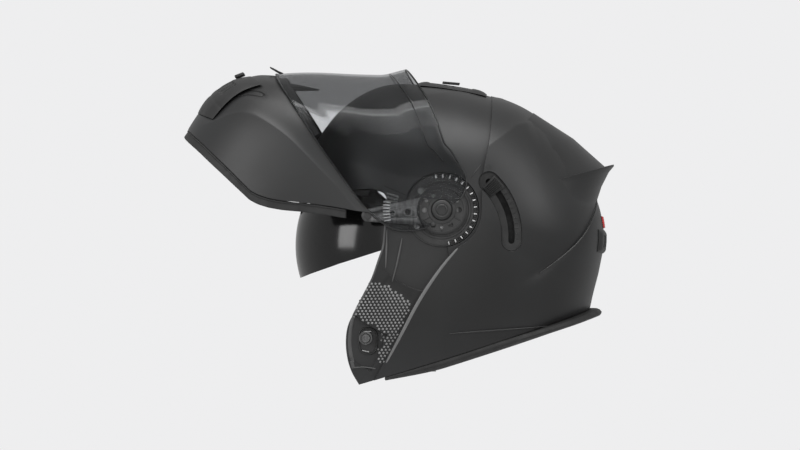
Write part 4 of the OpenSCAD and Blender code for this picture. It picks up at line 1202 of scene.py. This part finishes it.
def stud_panel(s):
    panel = px((382.5, 280), (392, 284), (402, 292), (413.5, 299), (386, 357), (379.5, 358), (379.5, 326),
               (372, 320), (359, 313), (354, 316), (358, 307), (372, 281))
    along, over = np.array([-0.45, -0.893]), np.array([-0.893, 0.45])
    start = np.array(panel[2])
    points = []
    for i in range(-14, 26):
        for j in range(-16, 22):
            x, z = start + along * 3.0 * (i + 0.5 * (j % 2)) + over * 3.1 * j
            recessed, from_edge = latch_place(x, z)
            if not inside(x, z, panel) or recessed and from_edge < 1.6:
                continue
            if math.dist((x, z), striker) >= 14 and math.hypot(x, z) >= fan_r + 2:
                points.append((x, s * (latch_floor if recessed else front_y(x, z) - 0.05), z))
    points = np.array(points)
    outwards = [(0, float(s), 0)] * len(points)
    return studs("stud_panel", points, outwards, 1.55, 0.45, stud_paint, math.atan2(0.45, 0.893), 0.6)


def latch_surround(s):
    """The D-shaped seat round the striker, a darker plate that is painted shade of the opening, with its
    raised lip and two bright stops.
    """
    shape = px((361, 332), (363, 325), (371, 323.5), (378.5, 327), (379.5, 337), (378, 347), (370, 350),
               (362, 347))
    shape = chaikin(shape, 2, True)
    middle = (66, -117.5)
    parts = [bead("lip", [(x, s * (latch_floor + 0.45), z) for x, z in shape], 0.75, plastic, 8, True)]
    inner = [[m + 0.86 * (q - m) for q, m in zip(p, middle)] for p in shape]
    # The darker seat plate is painted shade: it stands in for the dark D-shaped opening round the striker
    seat = prism("seat", inner, s * (latch_floor - 0.2), s * (latch_floor + 0.35))
    parts.append(finished(seat, dark_plastic, 0))
    stops = px((366, 327.6), (373, 327)), px((364.5, 345.5), (371, 347))
    for ends in stops:
        line = [(x, s * (latch_floor + 0.6), z) for x, z in np.linspace(*ends, 6)]
        parts.append(bead("stop", line, 0.7, steel, 8))
    return join("latch_surround", parts)


def front_bead(s):
    """Rubber bead along the front edge of the flank, wider beside the latch."""
    line = [(49.1, 8), (49.2, -5), (50.6, -16.7), (51.6, -32.2), (55.9, -43.6), (62.3, -63.4),
            (75.2, -87.6), (80.9, -101.3), (82.8, -122.8), (78.8, -142)]
    path = [(x, s * (latch_floor - 0.1 if latch_place(x, z)[0] else front_y(x, z) - 0.2), z)
            for x, z in sample(chaikin(line, 3), 1.6)]
    return bead("front_bead", path, lambda u: 0.9 + 0.9 * np.clip((u - 0.62) / 0.1, 0, 1), trim_and_highlight_grey, 10,
                squash=0.36)


def bottom_cap(s):
    """A fine line across the front lower corner of the flank."""
    line = px((356.5, 362), (366, 361.4), (377.5, 363))
    path = [(x, s * (front_y(x, z) + 0.05), z) for x, z in sample(line, 1.5)]
    return bead("cap_line", path, 0.55, trim_and_highlight_grey)


for s, _ in SIDES:
    keep(stud_panel(s), None, "shell")
    keep(latch_surround(s), None, "shell")
    keep(front_bead(s), None, "shell")
    keep(bottom_cap(s), None, "shell")


# Link arms with the framed window and the rack of the hinge, the visor's rings and the latch hooks
def link_arm(side, s):
    y0 = pocket_y + 2.3
    tip = (66, -5)
    shape = hull(arc(15, 77.76, 275.76, 60) + arc(5.5, -102.6, 77.4, 24, tip))
    body = prism("plate", shape, s * y0, s * (y0 + 2.4))
    holes = ((30, -2), 2.6, 4.4), ((44, -3), 2.0, 3.6)
    for at, r in (((0, 0), 9.05), *(q[:2] for q in holes)):
        bore(body, circle(r, at, 64), s)
    groove = hull([(14, 5), (14, -8), (58, -8), (62, -4.5), (58, -1.5), (36, 3)])
    cut(body, groove, s * (y0 + 1.9), s * wide)
    for at, _, r in holes:
        boss = [(r - 1.5, -0.1), (r, -0.1), (r, 0.45), (r - 1.5, 0.45)]
        combine(body, lathe("boss", boss, at, y0 + 1.9, dark_steel, 40, s), "UNION")
    peg = [(0.02, 0), (3.5, 0), (3.5, 2.7), (3.0, 3.1), (0.02, 3.1)]
    parts = [finished(body, dark_steel, 30, 0.25), lathe("peg", peg, tip, y0, plastic, 36, s)]
    for i in range(7):
        parts.append(tooth(-11 + 3.2 * i, 46, 52.5, 0.75, y0 + 1.6, y0 + 2.9, s, steel))
    return join("link_" + side, parts)


def visor_ring(side, s):
    """Ring of the visor with its holes, ribs and dowels."""
    y0 = pocket_y + 5
    profile = [(9.05, 0), (10.2, 0), (22, 0), (22, 2.2), (21.4, 2.5), (19.6, 2.5), (19.2, 2.1), (12.6, 2.1),
               (12.2, 2.5), (9.6, 2.5), (9.05, 2.1)]
    ring = lathe("ring", profile, (0, 0), y0, plastic, 96, s)
    for at in circle(15.5, n=6):
        bore(ring, circle(2.4, at, 28), s)
    parts = [ring]
    for a in range(30, 360, 60):
        parts.append(tooth(a, 12.8, 19.0, 0.5, y0 + 2.0, y0 + 2.5, s, plastic))
    for at in arc(15.9, 30, 270, 3):
        profile = [(0.02, 0), (1.5, 0), (1.5, 0.5), (1.2, 0.7), (0.02, 0.7)]
        parts.append(lathe("dowel", profile, at, y0 + 2.0, dark_steel, 20, s))
    return join("visor_ring_" + side, parts)


def beside_striker(t, r):
    """Side-view point along and away from the hinge's circle through the striker, chin bar closed."""
    a = math.radians(latch_a)
    return (striker[0] + t * math.sin(a) + r * math.cos(a), striker[1] - t * math.cos(a) + r * math.sin(a))


hook_at = beside_striker(-14, 7)


def hook(side, s):
    y0, y1 = latch_floor + 1.5, latch_floor + 4.1
    corner, nose = beside_striker(7.4, 8.6), beside_striker(7, 0.6)
    slot = circle(1, beside_striker(-5, 7.9), 40) + circle(1, beside_striker(3, 8.3), 40)
    o = prism("hook", hull(circle(5.2, hook_at, 40) + circle(2.8, corner, 40)), s * y0, s * y1)
    cut(o, hull(circle(2.79, corner, 40) + circle(2.2, nose, 40)), s * y0, s * (y1 - 0.001), "UNION")
    bore(o, circle(3.05, hook_at, 40), s)
    bore(o, hull(slot), s)
    o.name = "hook_" + side
    o.data.materials.append(steel)
    soften(round_edges(turned(o, -close_angle), 0.2, 40), 30)
    return o


hook_pins = []
for s, side in SIDES:
    keep(link_arm(side, s), "link_arm_" + side, "chin_bar")
    keep(visor_ring(side, s), "visor_ring_" + side, "visor")
    keep(hook(side, s), "latch_hook_" + side, "hook_" + side)
    profile = [(0.02, 0), (2.7, 0), (3, 0.3), (3, 5.9), (0.02, 5.9)]
    at = turn(np.array([hook_at[0], 0, hook_at[1]]), close_angle)[[0, 2]]
    hook_pins.append(lathe("hook_pin", profile, at, latch_floor + 0.9, steel, 32, s))
keep(join("hook_pins", hook_pins), "hook_pin_set", "chin_bar")


# Crowned pads that stand proud of the shell, with louvres or facets in them
def pad_grid(a0, a1, half, nu, nv, height):
    u, v = np.meshgrid(np.linspace(0, 1, nu), np.linspace(0, 1, nv), indexing="ij")
    a, t = a0 + (a1 - a0) * u, half * (2 * v - 1)
    e = height(u, v)
    return egg_points(a, t, e, e), egg_points(a, t, 0.3, 0.3)


def plateau(u, v, du, dv):
    rise_u = np.clip(np.minimum(u, 1 - u) / du, 0, 1)
    rise_v = np.clip(np.minimum(v, 1 - v) / dv, 0, 1)
    return (np.sin(rise_u * PI / 2) * np.sin(rise_v * PI / 2)) ** 0.8


def pit(s, half, edge):
    return np.clip((half - np.abs(s)) / edge + 0.5, 0, 1)


def repeats(u, n, half, edge):
    """A pit in the middle of each of n equal stretches."""
    return pit((u * n) % 1 - 0.5, half, edge)


def crown_height(u, v):
    seat = pit(u - 0.47, 0.31, 0.03) * pit(v - 0.5, 0.44, 0.04)
    slots = repeats(u, 9, 0.2, 0.12) * pit(np.abs(v - 0.5) - 0.26, 0.13, 0.03) * pit(u - 0.47, 0.25, 0.02)
    return 0.4 + 2.25 * plateau(u, v, 0.14, 0.16) - 0.7 * seat - 1.0 * slots


def exhaust_height(u, v):
    louvre = pit(u - 0.5, 0.26, 0.06) * pit(np.abs(v - 0.5) - 0.22, 0.16, 0.02)
    return 0.4 + 2.25 * plateau(u, v, 0.22, 0.09) - louvre * (1.7 - 1.2 * repeats(v, 22, 0.16, 0.1))


def facet_height(u, v):
    cells = np.abs((u * 5) % 1 - 0.5) + np.abs((v * 11) % 1 - 0.5)
    inner = pit(u - 0.5, 0.40, 0.04) * pit(v - 0.5, 0.45, 0.02)
    return 0.4 + 1.45 * plateau(u, v, 0.1, 0.06) - 0.45 * inner * cells


def scoop_height(u, v):
    """A raised hood with a barred mouth across it."""
    bow = (v - 0.5) ** 2
    mouth = pit(u - 0.62 + 0.25 * bow, 0.13, 0.04) * pit(v - 0.5, 0.36, 0.03)
    crease = dent(u - 0.36 + 0.5 * bow, 0.35, 0.03)
    bars = repeats(v, 13, 0.14, 0.1)
    return np.maximum(0.4 + 2.1 * plateau(u, v, 0.3, 0.16) - mouth * (1.6 - 1.1 * bars) - crease, 0.36)


crown_vent = skin("crown_vent", *pad_grid(80, 112, 14, 150, 90, crown_height), dark_plastic)
keep(crown_vent, "crown_vent_base", "shell")
exhaust = skin("exhaust", *pad_grid(187, 195, 20, 60, 240, exhaust_height), dark_plastic)
keep(exhaust, "exhaust_vent", "shell")
reflector = skin("reflector", *pad_grid(182.2, 186.4, 9, 60, 120, facet_height), red_lens, 25)
keep(reflector, "rear_reflector", "shell")


# Slide switches and the release button, ribbed blocks made at the crown or the chin and turned into place
def ribbed(name, low, high, material, ribs, along, depth, round_by, turn_by):
    """A rounded block with grooves across the top, or across the front where along is 1."""
    corner = [(x, z) for x, z in ((low[0], low[2]), (high[0], low[2]), (high[0], high[2]), (low[0], high[2]))]
    o = round_edges(prism(name, corner, low[1], high[1]), round_by)
    start, size = low[2 * along], high[2 * along] - low[2 * along]
    top = high[2 - 2 * along]
    half = 0.2 * size / ribs
    for i in range(ribs):
        mid = start + size * ((i + 0.5) / ribs * 0.72 + 0.14)
        groove = [(mid - half, top - depth), (mid + half, top - depth), (mid + 1.3 * half, top + 1),
                  (mid - 1.3 * half, top + 1)]
        cut(o, [(q[along], q[1 - along]) for q in groove], low[1] + 1.6, high[1] - 1.6)
    return turned(finished(o, material, 35), -turn_by)


slide = ribbed("crown_slide", (-8, -10, crown_r + 3.25), (8, 10, crown_r + 4.95), plastic, 5, 0, 0.8, 0.5, 5)
keep(slide, "crown_vent_slider", "crown_slide")
switch = ribbed("chin_switch", (182.45, -12, -132.45), (185.35, 12, -123.55), plastic, 4, 1, 0.9, 0.7,
                close_angle)
keep(switch, "chin_vent_switch", "vent_switch")
button = ribbed("button", (226.05, -15.95, -3.95), (239.15, 15.95, 6.35), red_plastic, 5, 1, 1.0, 1.0,
                close_angle - 52.6)
keep(button, "release_button", "button")


def lift_tab():
    side = [(195.6, 0.05), (199, -0.55), (203, -1.2), (205.4, -1.62), (205.85, -1.3), (205.9, -0.6),
            (203.5, 0.0), (202.6, 0.45), (201.8, 0.35), (200.9, 0.85), (200.1, 0.75), (199.2, 1.25),
            (198.3, 1.15), (192.9, 2.7), (193.5, 2.1)]
    o = finished(prism("lift_tab", side, -10.95, 10.95), plastic, 35, 0.3, 50)
    return turned(o, 28.4 - close_angle)


keep(lift_tab(), "visor_tab", "visor")
scoop = [turn(p, close_angle) for p in pad_grid(-47, -33.5, 24, 90, 180, scoop_height)]
keep(skin("chin_scoop", *scoop, dark_plastic), "chin_vent_scoop", "chin_bar")


def deflector():
    """Breath deflector: a ribbed blade with a rounded edge."""
    u, v = np.meshgrid(np.linspace(-1, 1, 121), np.linspace(0, 1, 31), indexing="ij")
    y = 48 * u
    t = np.sign(y) * np.degrees(np.arcsin((np.abs(y) / half_w) ** (blunt / 2)))
    root = egg_points(np.full_like(t, -30.0), t, -chin_wall - 5.5, -4)
    root[..., 1] = y
    reach = (0.06 + 0.94 * v) * 40 * (1 - u ** 2)
    ribs = 0.28 * repeats(u, 12, 0.12, 0.1) * pit(v - 0.45, 0.33, 0.06)
    thin = 0.3 * v ** 6
    blade, out = np.array([-0.5, 0, 0.8]), np.array([0.85, 0, 0.53])

    def at(d):
        return turn(root + reach[..., None] * blade + d[..., None] * out, close_angle)

    return skin("deflector", at(ribs - 0.3 - thin), at(thin - 1.75), seal_rubber, 40)


keep(deflector(), "breath_deflector", "chin_bar")


def brow_strip():
    """Strip along the brow, over the edge of the shell's opening."""
    section = ((0.1, -0.9), (0.5, -0.42), (1.4, -0.32), (2.3, -0.5), (3.0, -0.36), (4.2, -0.34), (4.9, -0.6),
               (4.9, -1.3), (4.4, -1.48), (0.6, -1.48))
    t = np.linspace(-62, 62, 150)
    x = (brow_r - 0.5) * np.cos(np.radians(t)) ** (2 / blunt)
    a = np.degrees(np.arctan2(np.interp(x, [56, 79, 118, 150], [19, 19, 7, 3]), x)) - 0.4
    rows = [egg_points(a - arc_angle(a, t, m), t, d - level_gap, d - flank_step) for m, d in section]
    return loft("brow_strip", np.stack(rows, axis=1), seal_rubber, 45)


keep(brow_strip(), "brow_gasket", "shell")


# Slider of the sun visor: a lipped track and a knurled knob
def slider():
    plate = prism("track", track_side(8.95), track_y - 3.05, track_y - 0.9)
    lip = prism("lip", track_side(8.94), track_y - 1.5, track_y)
    cut(lip, track_side(8.15), track_y - 2.5, track_y + 1.5)
    cut(combine(plate, lip, "UNION"), track_side(2.8), track_y - 8.5, track_y + 6.5)
    plate.data.materials.clear()
    plate.data.materials.append(dark_plastic)
    parts = [round_edges(plate, 0.2, 50)]
    for i in range(10):
        mark = (149 + 3.7 * i, track_r + 3.6, track_r + 6.4, 0.4, track_y - 1, track_y - 0.55, 1)
        parts.append(tooth(*mark, dark_plastic, track_at))
    return join("slider_plate", parts)


def knob():
    a0, a1 = 133.6, 144.4
    shape = arc(track_r + 7.55, a0, a1, 12, track_at) + arc(track_r - 7.55, a1, a0, 12, track_at)
    body = prism("knob", shape, track_y - 0.15, track_y + 4.4)
    stem = circle(2.15, polar(track_r, (a0 + a1) / 2, track_at), 24)
    cut(body, stem, track_y - 6.45, track_y + 0.5, "UNION")
    parts = [finished(body, knob_grip, 35, 0.5, 50)]
    for i in range(7):
        rib = (134.9 + 1.37 * i, track_r - 6.6, track_r + 6.6, 0.4, track_y + 4, track_y + 5.6, 1)
        parts.append(tooth(*rib, knob_grip, track_at))
    return join("slider_grip", parts)


keep(slider(), "slider_track", "shell")
keep(knob(), "slider_knob", "slider")


# Chin straps of webbing with bound edges, and the buckle under the chin
def strap(name, s):
    u, v = np.meshgrid(np.linspace(0, 1, 120), np.linspace(0, 1, 25), indexing="ij")
    points = np.array([[98, -96], [99, -152], [66, -143], [24, -146]], float)

    def at(q):
        weights = ((1 - q) ** 3, 3 * q * (1 - q) ** 2, 3 * q * q * (1 - q), q ** 3)
        return sum(w[..., None] * p for w, p in zip(weights, points))

    d = at(np.minimum(u + 0.01, 1)) - at(np.maximum(u - 0.01, 0))
    o = np.stack([d[..., 1], -d[..., 0]], axis=-1) / np.linalg.norm(d, axis=-1)[..., None]
    rim = np.minimum(v, 1 - v)
    stitch = repeats(u, 60, 0.3, 0.2) * dent(rim - 0.09, 1, 0.03)
    half = 0.8 * np.clip(rim / 0.03, 0.35, 1) ** 0.5 - 0.12 * stitch - 0.05 * np.abs(np.sin(v * PI * 9))

    def side(e):
        y, z = np.moveaxis(at(u) + e[..., None] * o, -1, 0)
        return np.stack([rivet_at[0] + strap_w * (v - 0.5), s * y, z], axis=-1)

    return skin(name, side(half), side(-half), webbing, 60)


for s, side in SIDES:
    keep(strap("strap_" + side[0], s), "strap_" + side, "shell")


def along_x(name, shape, x0, x1):
    """Outline of (y, z) points drawn through along X."""
    return turned(prism(name, shape, x0, x1), -90, "Z")


def buckle():
    z0 = buckle_z
    channel = [(4, 0), (32, 0), (32, 7), (30.4, 7), (30.4, 1.6), (5.6, 1.6), (5.6, 7), (4, 7)]
    o = prism("frame", [(x, z0 + z) for x, z in channel], -14, 23.6)
    fall = [(-24, z0 + 7.5), (-24, z0 + 4.2), (-19, z0 + 4.2), (-13, z0 + 7.5)]
    combine(o, along_x("fall", fall, 0, 40))
    combine(o, along_x("bore", circle(1.55, lever_at, 32), 0, 40))
    for y in (-8, 16):
        cut(o, [(12, z0 - 1), (24, z0 - 1), (24, z0 + 3), (12, z0 + 3)], y - 2, y + 2)
    return finished(o, steel, 35, 0.25)


def tongue():
    top, low = buckle_z + 3.45, buckle_z + 1.75
    side = [(23.55, low), (-13.75, low), (-13.75, top - 0.9), (-12.5, top - 0.3)]
    for i in range(12):
        y = -11.5 + 2.4 * i
        side += [(y, top), (y + 0.25, top - 0.75)]
    side += [(20.5, top), (23.0, top - 0.6)]
    return finished(along_x("tongue", side, 8.05, 27.95), plastic, 30, 0.15, 60, 1)


def lever():
    o = along_x("pin", circle(1.48, lever_at, 32), 4.15, 31.85)
    z0 = lever_at[1]
    plate = [(-3.9, -0.95), (21.95, -0.95), (21.95, 0.1), (20.4, 0.95), (14, 0.3), (6, 0.95), (-3.9, 0.95)]
    combine(o, along_x("plate", [(y, z0 + z) for y, z in plate], 6.45, 29.55), "UNION")
    for i in range(4):
        y = 10.5 + 2.2 * i
        combine(o, along_x("grip", [(y, z0), (y + 0.8, z0), (y + 1.0, z0 + 1.4), (y - 0.2, z0 + 1.4)], 9, 27))
    return finished(o, red_plastic, 35, 0.2, 50)


keep(buckle(), "buckle_frame", "shell")
keep(tongue(), "ratchet_tongue", "shell")
keep(lever(), "buckle_lever", "lever")


# Fine lines of the flanks: painted highlights on the ridges of the pillar, a painted highlight on the lit
# step edge, and painted shade in the creases behind it
def flank_bead(name, line, step, s, off, lift, radius, material, sides, squash=1.0):
    path = [(x, s * (float(flank_y(x, z, *off)) + lift), z) for x, z in sample(chaikin(line), step)]
    return bead(name, path, radius, material, sides, squash=squash)


def tapered(thin, thick, power):
    """Radius of a bead that is thin at both ends."""
    return lambda u: thin + thick * math.sin(PI * u) ** power


pillar_lines = [px((388.5, 229), (388, 248), (387.3, 266)),
                px((403, 237), (400.8, 249), (398.4, 261), (393.5, 279))]
seam_lines = [px((534.8, 271.5), (556, 257), (578, 238.3), (590, 219), (597, 200)),
              px((447, 329), (463, 327.6), (505, 325), (550, 322.4))]
short_line = px((469, 179), (474, 172.5), (479, 166))
edge_band = [(x - 2.0, z + 0.5) for x, z in rear_edge[1:6]]
for s, _ in SIDES:
    # Light grey beads along the pillar's ridges: painted highlights
    thin = tapered(0.2, 0.6, 0.5)
    parts = [flank_bead("ridge", q, 1.5, s, front_off, 0.05, thin, trim_and_highlight_grey, 8, 0.5) for q in pillar_lines]
    keep(join("pillar_lines", parts), None, "shell")
    # Dark beads sunk along the creases and the short fold behind the pillar: painted shade
    thin = tapered(0.1, 0.6, 0.4)
    parts = [flank_bead("seam", q, 1.5, s, (0, 0), -0.15, thin, visor_line, 8) for q in seam_lines]
    parts.append(flank_bead("short", short_line, 1.2, s, (-level_gap, -flank_step), -0.1, 0.4, visor_line, 8))
    keep(join("seam_lines", parts), None, "shell")
    thin = tapered(0.25, 1.25, 0.3)
    # A flat light grey band along the step edge: a painted highlight
    lit = flank_bead("edge_band", edge_band, 2.0, s, (0, 0), -0.1, thin, painted_edge_highlight, 10, 0.28)
    keep(lit, None, "shell")


# Camera, light and floor
def world():
    """Soft white light, and a light grey where it is seen or seen through a sheet."""
    w = bpy.data.worlds.new("studio")
    w.use_nodes = True
    t = w.node_tree
    t.nodes.clear()
    lit = add(t, "Background", {"Color": (1, 1, 1, 1), "Strength": 0.5})
    seen = add(t, "Background", {"Color": (0.855, 0.855, 0.862, 1), "Strength": 1.0})
    path = add(t, "LightPath", {})
    rays = {0: path.outputs["Is Camera Ray"], 1: path.outputs["Is Transmission Ray"]}
    either = add(t, "Math", rays, operation="MAXIMUM")
    mix = add(t, "MixShader", {0: either.outputs[0], 1: lit.outputs[0], 2: seen.outputs[0]})
    add(t, "OutputWorld", {0: mix.outputs[0]})
    return w


def aim(o, at, target):
    o.location = Vector(at)
    o.rotation_euler = (Vector(target) - Vector(at)).to_track_quat("-Z", "Y").to_euler()
    return o


def area_light(name, at, target, size, power):
    data = bpy.data.lights.new(name, "AREA")
    data.shape = "RECTANGLE"
    data.size, data.size_y = size
    data.energy = power
    aim(link(name, data), at, target)


def floor():
    m, t, b, v = new_material("floor")
    fill(t, b, {
        "Base Color": ramp(t, noise(t, v, 2), (0.80, 0.80, 0.805), (0.83, 0.83, 0.835)), "Roughness": 0.9,
    })
    ring = [(x, y, -460) for x, y in circle(600, (40, 0))]
    make("floor", ring, [tuple(range(len(ring)))], m, 0)


def studio():
    scene = bpy.context.scene
    scene.view_settings.view_transform = "Standard"
    scene.view_settings.look = "None"
    scene.world = world()
    area_light("overhead", (0.1, 0.5, 1.5), (0.02, 0, 0), (1.6, 0.9), 26)
    area_light("front", (1.5, 1.0, 0.5), (0.05, 0, 0), (0.7, 1.2), 12)
    area_light("rear", (-1.3, 0.9, 0.7), (0, 0, 0), (0.6, 1.2), 9)
    area_light("camera_side", (0.0, 2.4, 0.35), (0.02, 0, -0.02), (1.4, 0.8), 10)
    floor()
    data = bpy.data.cameras.new("camera")
    data.lens = 135
    data.sensor_width = 36
    scene.camera = aim(link("camera", data), (0.0372, 2.79, -0.002), (0.0372, 0, -0.0140))


studio()
